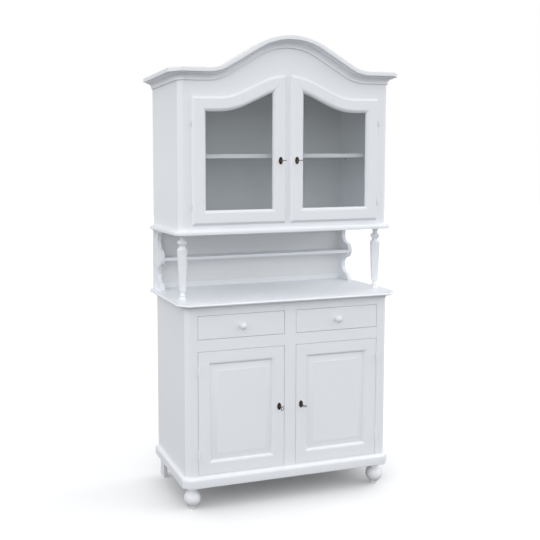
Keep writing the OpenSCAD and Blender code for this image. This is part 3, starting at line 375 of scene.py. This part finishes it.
def weigh_edges(shape, width, mitred=False):
    """Gives each edge its share of the round, and counts the edges that get one."""
    weight = shape.edges.layers.float.new("bevel_weight_edge")
    count = 0
    for edge in shape.edges:
        glued = mitred and any(on_glued_mitre(face) for face in edge.link_faces)
        sharp = edge.calc_face_angle(0) > SHARP
        share = min(1.0, ROOM_SHARE * room_beside(edge) / width)
        rounded = sharp and not glued and share > LEAST_ROUND
        edge[weight] = share if rounded else 0.0
        edge.smooth = rounded or not sharp
        count += rounded
    return count


door = merged(nodes["left_door"].data)
print("left door:", weigh_edges(door, DOOR, mitred=True), "of", len(door.edges), "edges rounded")
door.free()

# %% [markdown]
# ## Boards, posts and turned parts
# The boards, the posts, the doors, the turned parts and the small fittings have their real shapes
# already, and lack only their rounds. They could be modelled again one by one, but a single helper
# does them all. It copies the solid, weighs its edges and adds the Bevel, which stays a modifier
# until the export. A second modifier lets the large flat faces set the shading, so that they stay
# flat and only the rounds turn the light.

# %% Ease the pieces
BEVEL_STEPS = 2


def stand_in(piece, *replaced):
    """The piece rides where the solids it stands in for ride, and those solids are hidden."""
    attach(piece, body_of[replaced[0]])
    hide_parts(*replaced)


def eased(node, width, mitred=False):
    """A copy of a solid with its sharp edges rounded, which takes the solid's place."""
    shape = merged(nodes[node].data)
    weigh_edges(shape, width, mitred)
    for face in shape.faces:
        face.smooth = True
    mesh = bpy.data.meshes.new(node + "_eased")
    shape.to_mesh(mesh)
    shape.free()
    if "custom_normal" in mesh.attributes:
        mesh.attributes.remove(mesh.attributes["custom_normal"])
    mesh.materials.append(finishes[slot_of[node]])
    piece = add_object(node + "_eased", mesh)
    ease = piece.modifiers.new("ease", "BEVEL")
    ease.width, ease.segments = width, BEVEL_STEPS
    ease.limit_method = "WEIGHT"
    ease.use_clamp_overlap = False
    piece.modifiers.new("level", "WEIGHTED_NORMAL").keep_sharp = True
    stand_in(piece, node)
    return piece


pieces = [eased(node, width, mitred=node.endswith("_door")) for node, width in widths.items()]
print("eased", len(pieces), "pieces")

# %% [markdown]
# ## Moulding sections
# A moulding is one outline drawn along the wood by a cutter. It could be built from boxes and
# cylinders, but their joints would show. So each outline is a list of points, in millimetres: how
# far the point reaches out from the body, and how high it lies. It starts on the body at the foot
# and goes out, up and back to the body. Quarter rounds and coves are arcs, and every sharp corner
# is turned with a small radius, as a cutter and paint would leave it.

# %% Draw the three outlines
MM = 0.001
TINY = 1e-6
SHARP_CORNER = radians(30)
CORNER_STEPS = 3


def arc(centre, radius, start, end, steps=10):
    """Points on an arc about a centre, from one angle to another in degrees."""
    turns = [radians(start + (end - start) * i / steps) for i in range(steps + 1)]
    return [(centre[0] + radius * cos(a), centre[1] + radius * sin(a)) for a in turns]


def softened(outline, radius):
    """The outline with each sharp corner turned round, except those that lie on the body."""
    points = [Vector(p) for p in outline]
    points = [p for i, p in enumerate(points) if (p - points[i - 1]).length > TINY]
    out = []
    for i, p in enumerate(points):
        before, after = points[i - 1] - p, points[(i + 1) % len(points)] - p
        if pi - before.angle(after) < SHARP_CORNER or p.x < TINY:
            out.append(p)
            continue
        reach = min(radius, ROOM_SHARE * before.length, ROOM_SHARE * after.length)
        a, b = p + before.normalized() * reach, p + after.normalized() * reach
        for t in (k / CORNER_STEPS for k in range(CORNER_STEPS + 1)):
            out.append(a * (1 - t) ** 2 + p * 2 * t * (1 - t) + b * t ** 2)
    return out


plinth_outline = softened(
    [(0, 0), (13, 0), (16, 3), *arc((2, 34), 14, 0, 90), (0, 48)], 0.8)
cove_outline = softened(
    [(0, 0), (3, 0), (3, 3), *arc((17, 3), 14, 180, 90), (20, 17), (20, 21), (0, 21)], 0.5)
cornice_outline = softened(
    [(0, 0), (6, 0), (6, 5), *arc((27, 5), 21, 180, 90, 14), (29, 26), (29, 30), (45, 32),
     (45, 50), (0, 50)], 1.2)
for name, outline in (("plinth", plinth_outline), ("cove", cove_outline),
                      ("cornice", cornice_outline)):
    print(name, "outline:", len(outline), "points,", round(max(p[0] for p in outline)), "mm deep")

# %% [markdown]
# ## The path round the body
# Seen from above, each moulding runs from the back along a side, round a canted corner, across the
# front and back again. At a corner the real pieces are sawn to a mitre. Three straight lengths
# could be made and cut, but one outline that follows the whole path has no seam. It has to stretch
# along each mitre, so every point of the path also carries the vector by which it moves for each
# metre of reach.

# %% Build a path
CANT = 0.019  # how far a canted corner runs along each side of the body
MITRE = sqrt(2) - 1  # the short part of the vector at a corner of 45 degrees


def chain(name, points, closed=False):
    """An object whose mesh is a chain of edges through the points."""
    count = len(points)
    mesh = bpy.data.meshes.new(name)
    mesh.from_pydata(points, [(i, (i + 1) % count) for i in range(count if closed else count - 1)],
                     [])
    return add_object(name, mesh)


def plan_path(name, half_width, front, z, stations=()):
    """A path round the body, with the mitre vector of each point as an attribute."""
    right = [((half_width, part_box("base_sides")[1].y), (1, 0)),
             ((half_width, front + CANT), (1, -MITRE)), ((half_width - CANT, front), (MITRE, -1))]
    left = [((-x, y), (-out_x, out_y)) for (x, y), (out_x, out_y) in right]
    points = left + [((x, front), (0, -1)) for x in stations] + right[::-1]
    path = chain(name, [(x, y, z) for (x, y), _ in points])
    out = path.data.attributes.new("out", "FLOAT_VECTOR", "POINT")
    for item, (_, (out_x, out_y)) in zip(out.data, points):
        item.vector = (out_x, out_y, 0)
    return path


base_plan = (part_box("base_sides")[1].x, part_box("base_rails")[0].y)
upper_plan = (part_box("upper_sides")[1].x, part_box("upper_bottom_rail")[0].y)
for name, plan in (("base", base_plan), ("upper cabinet", upper_plan)):
    print(name, "half width and front:", [round(v, 4) for v in plan])

# %% [markdown]
# ## What every geometry tree shares
# Mouldings, brads and screws each get a geometry tree. Their shapes could be fixed numbers in
# Python, but a tree with named inputs can be opened in Blender and tried with other sizes. Every
# tree starts from a shape and its sizes. It ends in Realize Instances and Set Material, because the
# export drops instances.

# %% Helpers for geometry trees
def new_tree(name, shape, sizes):
    """A geometry tree and its inputs: first the shape it starts from, then the named sizes."""
    tree = bpy.data.node_groups.new(name, "GeometryNodeTree")
    sockets = tree.interface
    sockets.new_socket("Geometry", in_out="OUTPUT", socket_type="NodeSocketGeometry")
    for socket, kind in {shape: "Geometry", **sizes, "Finish": "Material"}.items():
        sockets.new_socket(socket, in_out="INPUT", socket_type="NodeSocket" + kind)
    return tree, tree.nodes.new("NodeGroupInput").outputs


def end_tree(tree, geometry, finish):
    """Makes real geometry of everything, gives it its finish and hands it out."""
    real = add(tree, "GeometryNodeRealizeInstances", Geometry=geometry)
    done = add(tree, "GeometryNodeSetMaterial", Geometry=real.outputs[0], Material=finish)
    tree.links.new(done.outputs[0], tree.nodes.new("NodeGroupOutput").inputs[0])


def xyz(tree, x=0.0, y=0.0, z=0.0):
    """A vector made of three numbers."""
    return add(tree, "ShaderNodeCombineXYZ", _0=x, _1=y, _2=z).outputs[0]


def scaled(tree, vector, amount):
    """A vector times a number."""
    return add(tree, "ShaderNodeVectorMath", {"operation": "SCALE"}, _0=vector,
               Scale=amount).outputs[0]


def joined(tree, first, second):
    """Two vectors, one after the other."""
    return add(tree, "ShaderNodeVectorMath", {"operation": "ADD"}, _0=first, _1=second).outputs[0]


print("helpers for geometry trees:",
      ", ".join(f.__name__ for f in (new_tree, end_tree, xyz, scaled, joined)))

# %% [markdown]
# ## The rule of the arch
# The cornice is the piece that takes the most skill. Its line is a crown, two straight slopes and
# two hollows that meet without a kink. It could be drawn as a free curve, but then each new width
# would need a new drawing, and a kink slips in easily. Four sizes and a rule do better: the rise,
# the run from the middle to the shoulder, the slope and the crown's radius. Three formulas then
# give the height at any distance from the middle, and the turn of the line there. The hollow's
# radius isn't chosen, because only one radius brings the line down to the level shoulder.

# %% Say the rule in nodes
def by_distance(tree, off, stretches):
    """The formula of the first stretch that ends beyond the distance, and 0 past the last."""
    value = 0.0
    for end, formula in reversed(stretches):
        value = add(tree, "GeometryNodeSwitch", {"input_type": "FLOAT"},
                    _0=calc(tree, "LESS_THAN", off, end), _1=value, _2=formula).outputs[0]
    return value


def arch_rule(tree, off, rise, run, slope, crown):
    """The height and the turn of the arch's line at a distance from the middle."""
    def in_nodes(operation):
        return lambda *values: calc(tree, operation, *values)

    plus, minus, times, over, root, turn_of, sine, cosine, tangent = map(in_nodes, (
        "ADD", "SUBTRACT", "MULTIPLY", "DIVIDE", "SQRT", "ARCSINE", "SINE", "COSINE", "TANGENT"))
    s, c, t = sine(slope), cosine(slope), tangent(slope)

    def round_height(radius, along):
        """How high a circle stands at a distance from its middle."""
        return root(minus(times(radius, radius), times(along, along)))

    both_radii = over(minus(times(run, s), times(rise, c)), minus(1.0, c))
    hollow = minus(both_radii, crown)
    crown_end = times(crown, s)
    hollow_start = minus(run, times(hollow, s))
    to_go = minus(run, off)
    on_crown = plus(minus(rise, crown), round_height(crown, off))
    on_slope = minus(minus(rise, times(crown, minus(1.0, c))), times(minus(off, crown_end), t))
    in_hollow = minus(hollow, round_height(hollow, to_go))
    ends = (crown_end, hollow_start, run)
    heights = tuple(zip(ends, (on_crown, on_slope, in_hollow)))
    turns = tuple(zip(ends, (turn_of(over(off, crown)), slope, turn_of(over(to_go, hollow)))))
    return by_distance(tree, off, heights), by_distance(tree, off, turns)


arch = {"Rise": 0.148, "Run": 0.388, "Slope": radians(30), "Crown_Radius": 0.276}
hollow_radius = ((arch["Run"] * sin(arch["Slope"]) - arch["Rise"] * cos(arch["Slope"]))
                 / (1 - cos(arch["Slope"])) - arch["Crown_Radius"])
print("the hollow's radius follows as", round(hollow_radius, 4))

# %% [markdown]
# ## A sweep that keeps the mitres
# Curve to Mesh could sweep the outline alone, but it turns the outline square to the path, so a
# moulding would get thin at each corner. Here the node only joins the points. Before it, each point
# of the path stores its place, its way out and its way up, and each point of the outline stores
# where it was drawn. After it, every point goes to its place on the path, plus its reach outwards,
# plus its height upwards.

# %% Build the sweeping tree
VECTOR = {"data_type": "FLOAT_VECTOR"}


def keep(tree, geometry, name, value):
    """Stores a vector on every point under a name."""
    return add(tree, "GeometryNodeStoreNamedAttribute", {**VECTOR, "domain": "POINT"},
               Geometry=geometry, Name=name, Value=value).outputs[0]


def kept(tree, name):
    """The vector that was stored under a name."""
    return add(tree, "GeometryNodeInputNamedAttribute", VECTOR, Name=name).outputs[0]


def moulding_tree():
    """Lifts the path by the arch's rule and draws the outline along it."""
    tree, given = new_tree("moulding_round_a_body", "Path", {
        "Outline": "Object", "Rise": "Float", "Run": "Float", "Slope": "Float",
        "Crown Radius": "Float"})
    place = tree.nodes.new("GeometryNodeInputPosition").outputs[0]
    x = add(tree, "ShaderNodeSeparateXYZ", _0=place).outputs[0]
    sizes = (given[name] for name in ("Rise", "Run", "Slope", "Crown Radius"))
    height, turn = arch_rule(tree, calc(tree, "ABSOLUTE", x), *sizes)
    leaning = calc(tree, "MULTIPLY", calc(tree, "SIGN", x), calc(tree, "SINE", turn))
    path = keep(tree, given["Path"], "up", xyz(tree, x=leaning, z=calc(tree, "COSINE", turn)))
    path = add(tree, "GeometryNodeSetPosition", Geometry=path, Offset=xyz(tree, z=height))
    path = add(tree, "GeometryNodeMeshToCurve", Mesh=keep(tree, path.outputs[0], "at", place))
    outline = add(tree, "GeometryNodeObjectInfo", Object=given["Outline"]).outputs["Geometry"]
    outline = add(tree, "GeometryNodeMeshToCurve", Mesh=keep(tree, outline, "drawn", place))
    swept = add(tree, "GeometryNodeCurveToMesh", Curve=path.outputs[0],
                Profile_Curve=outline.outputs[0], Fill_Caps=True).outputs[0]
    reach, rise, _ = add(tree, "ShaderNodeSeparateXYZ", _0=kept(tree, "drawn")).outputs
    outwards, upwards = scaled(tree, kept(tree, "out"), reach), scaled(tree, kept(tree, "up"), rise)
    spot = joined(tree, kept(tree, "at"), joined(tree, outwards, upwards))
    placed = add(tree, "GeometryNodeSetPosition", Geometry=swept, Position=spot)
    end_tree(tree, placed.outputs[0], given["Finish"])
    return tree


sweep = moulding_tree()
print("sweeping tree with", len(sweep.nodes), "nodes")

# %% [markdown]
# ## From tree to plain mesh
# A tree could stay on its piece as a modifier, but the export wants ordinary meshes. So the result
# is copied out, its doubles are merged, its faces are turned outwards, and the modifier goes. The
# tree's inputs are set by the sockets' identifiers before the object is first evaluated, because a
# modifier doesn't know them by name.

# %% Helper that bakes a tree
SAME_POINT = 2e-6


def baked(carrier, tree, **values):
    """Runs the tree on the carrier with its named inputs and leaves the plain mesh in its place."""
    modifier = carrier.modifiers.new("tree", "NODES")
    modifier.node_group = tree
    for item in tree.interface.items_tree:
        key = item.name.replace(" ", "_")
        if item.in_out == "INPUT" and key in values:
            modifier[item.identifier] = values[key]
    bpy.context.view_layer.update()
    graph = bpy.context.evaluated_depsgraph_get()
    mesh = bpy.data.meshes.new_from_object(carrier.evaluated_get(graph))
    carrier.modifiers.remove(modifier)
    shape = bmesh.new()
    shape.from_mesh(mesh)
    bmesh.ops.remove_doubles(shape, verts=shape.verts, dist=SAME_POINT)
    bmesh.ops.recalc_face_normals(shape, faces=shape.faces)
    for face in shape.faces:
        face.smooth = True
    shape.to_mesh(mesh)
    shape.free()
    carrier.data = mesh
    return carrier


print("inputs of the sweeping tree:",
      ", ".join(item.name for item in sweep.interface.items_tree if item.in_out == "INPUT"))

# %% [markdown]
# ## Plinth, cove and cornice
# The plinth hides the joint of the feet, the cove carries the eye to the table top, and the cornice
# crowns the cabinet with its arch. Each could have a tree of its own, but the plinth and the cove
# are the same sweep with no rise, so one tree makes all three. The path of the cornice gets many
# points across the arch. A Bevel then softens the mitres, and each run takes the place of its
# solids.

# %% Run the three mouldings
ARCH_STEPS = 160
MITRE_ROUND = 0.0007
MITRE_EDGE = radians(36)

straight = {**arch, "Rise": 0.0, "Run": 0.0}
stations = [arch["Run"] * (2 * i / ARCH_STEPS - 1) for i in range(ARCH_STEPS + 1)]


def soften_mitres(piece):
    """Rounds the long edges and the mitres by a hair."""
    ease = piece.modifiers.new("ease", "BEVEL")
    ease.width, ease.segments = MITRE_ROUND, BEVEL_STEPS
    ease.limit_method, ease.angle_limit = "ANGLE", MITRE_EDGE
    ease.harden_normals = True


for name, plan, across, outline, sizes, replaced in (
        ("plinth_run", base_plan, (), plinth_outline, straight, ("plinth_moulding",)),
        ("cove_run", base_plan, (), cove_outline, straight, ("cove_moulding",)),
        ("cornice_run", upper_plan, stations, cornice_outline, arch,
         ("cornice_arch", "cornice_returns"))):
    path = plan_path(name, *plan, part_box(replaced[0])[0].z, across)
    drawing = chain(name + "_outline", [(p[0] * MM, p[1] * MM, 0) for p in outline], closed=True)
    piece = baked(path, sweep, Outline=drawing, Finish=finishes[slot_of[replaced[0]]], **sizes)
    bpy.data.objects.remove(drawing)
    soften_mitres(piece)
    stand_in(piece, *replaced)
    print(name, len(piece.data.polygons), "faces")

# %% [markdown]
# ## Brads along the glazing beads
# Thin beads hold each pane from the inside, and small brads hold the beads. Their heads could be
# placed one by one, but they repeat along an outline, which is work for Geometry Nodes. The tree
# spaces points along the pane's own outline, moves them inwards to the middle of the bead, and sets
# a domed head on each. A hammer never leaves two heads alike, so their sizes and turns vary with a
# fixed seed.

# %% Build the tree of heads along an outline
DOME_SEGMENTS, DOME_RINGS = 12, 8
DOME_FLATNESS = 0.4
DOME_SIZES = (0.85, 1.1)
ANY_TURN = (-pi, pi)


def random_number(tree, seed, span):
    """A random number for each point, the same in every run."""
    return add(tree, "FunctionNodeRandomValue", {"data_type": "FLOAT"}, Seed=seed, _2=span[0],
               _3=span[1]).outputs[1]


def brads_tree():
    """Domed heads at even steps along an outline, turned and sized at random."""
    tree, given = new_tree("heads_along_an_outline", "Outline", {
        "Spacing": "Float", "Inset": "Float", "Depth": "Float", "Radius": "Float", "Seed": "Int"})
    line = add(tree, "GeometryNodeMeshToCurve", Mesh=given["Outline"])
    line = add(tree, "GeometryNodeResampleCurve", {"mode": "LENGTH"}, Curve=line.outputs[0],
               Length=given["Spacing"])
    along = tree.nodes.new("GeometryNodeInputTangent").outputs[0]
    inwards = add(tree, "ShaderNodeVectorMath", {"operation": "CROSS_PRODUCT"},
                  _0=(0.0, 1.0, 0.0), _1=along).outputs[0]
    offset = joined(tree, scaled(tree, inwards, given["Inset"]), xyz(tree, y=given["Depth"]))
    line = add(tree, "GeometryNodeSetPosition", Geometry=line.outputs[0], Offset=offset)
    spots = add(tree, "GeometryNodeCurveToPoints", {"mode": "EVALUATED"}, Curve=line.outputs[0])
    dome = add(tree, "GeometryNodeMeshUVSphere", Segments=DOME_SEGMENTS, Rings=DOME_RINGS,
               Radius=given["Radius"])
    dome = add(tree, "GeometryNodeTransform", Geometry=dome.outputs[0],
               Scale=(1.0, DOME_FLATNESS, 1.0))
    spin = xyz(tree, y=random_number(tree, given["Seed"], ANY_TURN))
    size = random_number(tree, given["Seed"], DOME_SIZES)
    heads = add(tree, "GeometryNodeInstanceOnPoints", Points=spots.outputs[0],
                Instance=dome.outputs[0], Rotation=spin, Scale=size)
    end_tree(tree, heads.outputs[0], given["Finish"])
    return tree


heads = brads_tree()
print("tree of heads with", len(heads.nodes), "nodes")

# %% [markdown]
# ## A pane's outline
# The brads follow the bead, and the bead follows the inner face of the pane. That line could be
# typed in, but the solid already has it. The rim of the face is copied as a chain of edges in one
# direction, so that the tree's way inwards points to the middle.

# %% Set the brads
BRADS = {"Spacing": 0.082, "Inset": 0.0025, "Radius": 0.0011}
BRAD_SEED = 11


def pane_outline(pane):
    """The rim of a pane's inner face as a closed chain of edges."""
    shape = merged(nodes[pane].data)
    inner = max(shape.faces, key=lambda face: face.normal.y * face.calc_area())
    rim = [vert.co.copy() for vert in inner.verts]
    shape.free()
    return chain(pane + "_brads", rim, closed=True)


for number, side in enumerate(sides):
    pane, door = side + "_glass", side + "_glass_door"
    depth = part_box(door)[1].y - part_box(pane)[1].y
    brads = baked(pane_outline(pane), heads, **BRADS, Depth=depth, Seed=BRAD_SEED + number,
                  Finish=finishes["key_steel"])
    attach(brads, body_of[door])
    print(brads.name, len(brads.data.polygons), "faces, box",
          [round(v, 4) for v in brads.bound_box[0]], [round(v, 4) for v in brads.bound_box[6]])

# %% [markdown]
# ## A screw's head
# Four slotted screws hold each lock case to the back of its door. A head could be a disc with a
# painted line, but the line would vanish in a raking light. A slot cut by a Boolean leaves messy
# faces. So the head is built up: a thin round base, and two raised halves with the slot between
# them.

# %% Make the screw's head
HEAD_RADIUS, HEAD_HEIGHT, HALF_SLOT, SUNK = 0.0028, 0.0007, 0.0004, 0.0005
BASE_TOP, HALVES_FROM = 0.25 * HEAD_HEIGHT, 0.2 * HEAD_HEIGHT
RING_SIDES, HALF_STEPS = 20, 10


def prism(shape, outline, low, high):
    """Adds a closed prism along Y to a bmesh, from its outline in X and Z."""
    below = [shape.verts.new((x, low, z)) for x, z in outline]
    above = [shape.verts.new((x, high, z)) for x, z in outline]
    shape.faces.new(below)
    shape.faces.new(above[::-1])
    for i in range(len(outline)):
        k = (i + 1) % len(outline)
        shape.faces.new((below[i], above[i], above[k], below[k]))


def screw_head():
    """A slotted disc that faces +Y."""
    shape = bmesh.new()
    ring = [2 * pi * i / RING_SIDES for i in range(RING_SIDES)]
    prism(shape, [(HEAD_RADIUS * cos(a), HEAD_RADIUS * sin(a)) for a in ring], -SUNK, BASE_TOP)
    first = asin(HALF_SLOT / HEAD_RADIUS)
    half = [first + (pi - 2 * first) * i / HALF_STEPS for i in range(HALF_STEPS + 1)]
    for flip in (1, -1):
        prism(shape, [(HEAD_RADIUS * cos(a), flip * HEAD_RADIUS * sin(a)) for a in half],
              HALVES_FROM, HEAD_HEIGHT)
    bmesh.ops.recalc_face_normals(shape, faces=shape.faces)
    mesh = bpy.data.meshes.new("screw_head")
    shape.to_mesh(mesh)
    shape.free()
    return add_object("screw_head", mesh)


head = screw_head()
print("screw head with", len(head.data.polygons), "faces")

# %% [markdown]
# ## Screws in the lock cases
# Nobody lines up the slots inside a cupboard, so the screws are turned at random. They could be
# copied by hand, but a tree that sets one head on every point of a small cloud serves all four
# locks, and its seed keeps each screw's turn.

# %% Set the screws
SCREW_IN_X, SCREW_IN_Z = 0.005, 0.0055  # from the edges of the lock case
SCREW_SEED = 31


def screws_tree():
    """A head on every point, turned at random."""
    tree, given = new_tree("screws_on_points", "Points", {"Head": "Object", "Seed": "Int"})
    one = add(tree, "GeometryNodeObjectInfo", Object=given["Head"]).outputs["Geometry"]
    spin = xyz(tree, y=random_number(tree, given["Seed"], ANY_TURN))
    all_of_them = add(tree, "GeometryNodeInstanceOnPoints", Points=given["Points"], Instance=one,
                      Rotation=spin)
    end_tree(tree, all_of_them.outputs[0], given["Finish"])
    return tree


screws = screws_tree()
locks = [side + name for side in sides for name in ("_door_lock", "_glass_lock")]
for number, lock in enumerate(locks):
    low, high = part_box(lock)
    mesh = bpy.data.meshes.new(lock + "_screws")
    mesh.from_pydata([(x, high.y, z) for x in (low.x + SCREW_IN_X, high.x - SCREW_IN_X)
                      for z in (low.z + SCREW_IN_Z, high.z - SCREW_IN_Z)], [], [])
    piece = baked(add_object(lock + "_screws", mesh), screws, Head=head,
                  Seed=SCREW_SEED + number, Finish=finishes["key_steel"])
    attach(piece, body_of[lock])
bpy.data.objects.remove(head)
print("screws on", len(locks), "locks,", len(piece.data.polygons), "faces each")

# %% [markdown]
# ## The floor
# The photograph has a pure white ground. Without a floor the cabinet would hang in the air, so a
# large pale one catches the shadow under the feet. It could be made white with more light, but that
# light would spoil the cabinet. Instead it is pale to the camera and darker to the light that
# bounces off it, so that the ground turns white without lighting the cabinet from below. To a
# reflection it lies between the two. A faint mottle keeps its even tone from looking printed.

# %% Lay the floor
FLOOR_SIZE = 40
BOUNCED, SEEN = 0.18, 0.96  # the floor's tone to bounced light and to the camera
LESS_IN_REFLECTIONS = 0.55  # the part of that difference which a reflection loses
MOTTLE, MOTTLE_SCALE = 0.004, 1.5


def floor_material():
    """A matt floor whose tone depends on what looks at it."""
    material, tree = new_material("studio_floor")
    mottle = noise(tree, place_on_piece(tree), MOTTLE_SCALE)
    mottle = remap(tree, mottle, NOISE_RANGE, (-MOTTLE, MOTTLE))
    rays = add(tree, "ShaderNodeLightPath").outputs
    direct = calc(tree, "SUBTRACT", 1.0, rays["Is Diffuse Ray"])
    direct = calc(tree, "MULTIPLY_ADD", rays["Is Glossy Ray"], -LESS_IN_REFLECTIONS, direct)
    tone = calc(tree, "ADD", remap(tree, direct, (0, 1), (BOUNCED, SEEN)), mottle)
    finish_with(tree, add(tree, "ShaderNodeBsdfDiffuse", Color=tone))
    return material


bpy.ops.mesh.primitive_plane_add(size=FLOOR_SIZE, location=(0, 0, 0))
floor = bpy.context.object
floor.name = "floor"
floor.data.materials.append(floor_material())
print("floor", FLOOR_SIZE, "m wide")

# %% [markdown]
# ## The room
# A studio is white where its lamps and walls are. One even white world would be simple, but then
# the glass would have nothing to mirror. So the world looks different to different rays. It is pure
# white to the camera and through the glass. A reflection sees it white at the horizon and dimmer
# above, as walls and a ceiling are, which gives the panes their gradient. Everywhere else it is a
# soft, slightly cool fill.

# %% Paint the world
FILL = 0.86
COOL_WHITE = (0.985, 1.0, 1.02, 1)
WALLS_TO_CEILING = (0.01, 0.11)  # how steeply a ray climbs where the gradient starts and ends
ROOM_LEVELS = (1.0, 0.6)

world = bpy.data.worlds.new("studio")
bpy.context.scene.world = world
world.use_nodes = True
sky = world.node_tree
sky.nodes.clear()
rays = add(sky, "ShaderNodeLightPath").outputs
looked_at = calc(sky, "MAXIMUM", rays["Is Camera Ray"], rays["Is Transmission Ray"])
direction = add(sky, "ShaderNodeTexCoord").outputs["Generated"]
climb = add(sky, "ShaderNodeSeparateXYZ", _0=direction).outputs[2]
room = remap(sky, climb, WALLS_TO_CEILING, ROOM_LEVELS)
strength = add(sky, "ShaderNodeMix", _0=rays["Is Glossy Ray"], _2=FILL, _3=room).outputs[0]
fill = add(sky, "ShaderNodeBackground", Color=COOL_WHITE, Strength=strength).outputs[0]
white = add(sky, "ShaderNodeBackground", Color=(1, 1, 1, 1), Strength=1.0).outputs[0]
mixed = add(sky, "ShaderNodeMixShader", _0=looked_at, _1=fill, _2=white).outputs[0]
add(sky, "ShaderNodeOutputWorld", Surface=mixed)
print("world with", len(sky.nodes), "nodes")

# %% [markdown]
# ## Lamps
# Four wide, soft suns do what a studio's big softboxes do. Area lamps could stand round the
# cabinet, but they light the near floor more than the far one. A sun lights the whole floor evenly,
# which keeps the ground white to its edges. A low one in front reaches into the niche and behind
# the glass. One on the left lights the side, and both together make the canted corners the
# brightest uprights. One on the right reaches in between the columns and lights the table top, and
# a faint one overhead draws lines of light on the mouldings.

# %% Add the lamps
LAMPS = {  # degrees round to the left, degrees high, strength, and degrees wide in the sky
    "front": (16, 20, 0.59, 60),
    "left": (72, 25, 0.57, 60),
    "right": (-82, 28, 1.0, 60),
    "overhead": (0, 85, 0.1, 90),
}
for name, (round_left, high, energy, spread) in LAMPS.items():
    turn, height = radians(round_left), radians(high)
    lamp_data = bpy.data.lights.new(name, "SUN")
    lamp_data.energy, lamp_data.angle = energy, radians(spread)
    lamp = add_object(name, lamp_data)
    aim = Vector((sin(turn) * cos(height), cos(turn) * cos(height), -sin(height)))
    lamp.rotation_euler = aim.to_track_quat("-Z", "Y").to_euler()
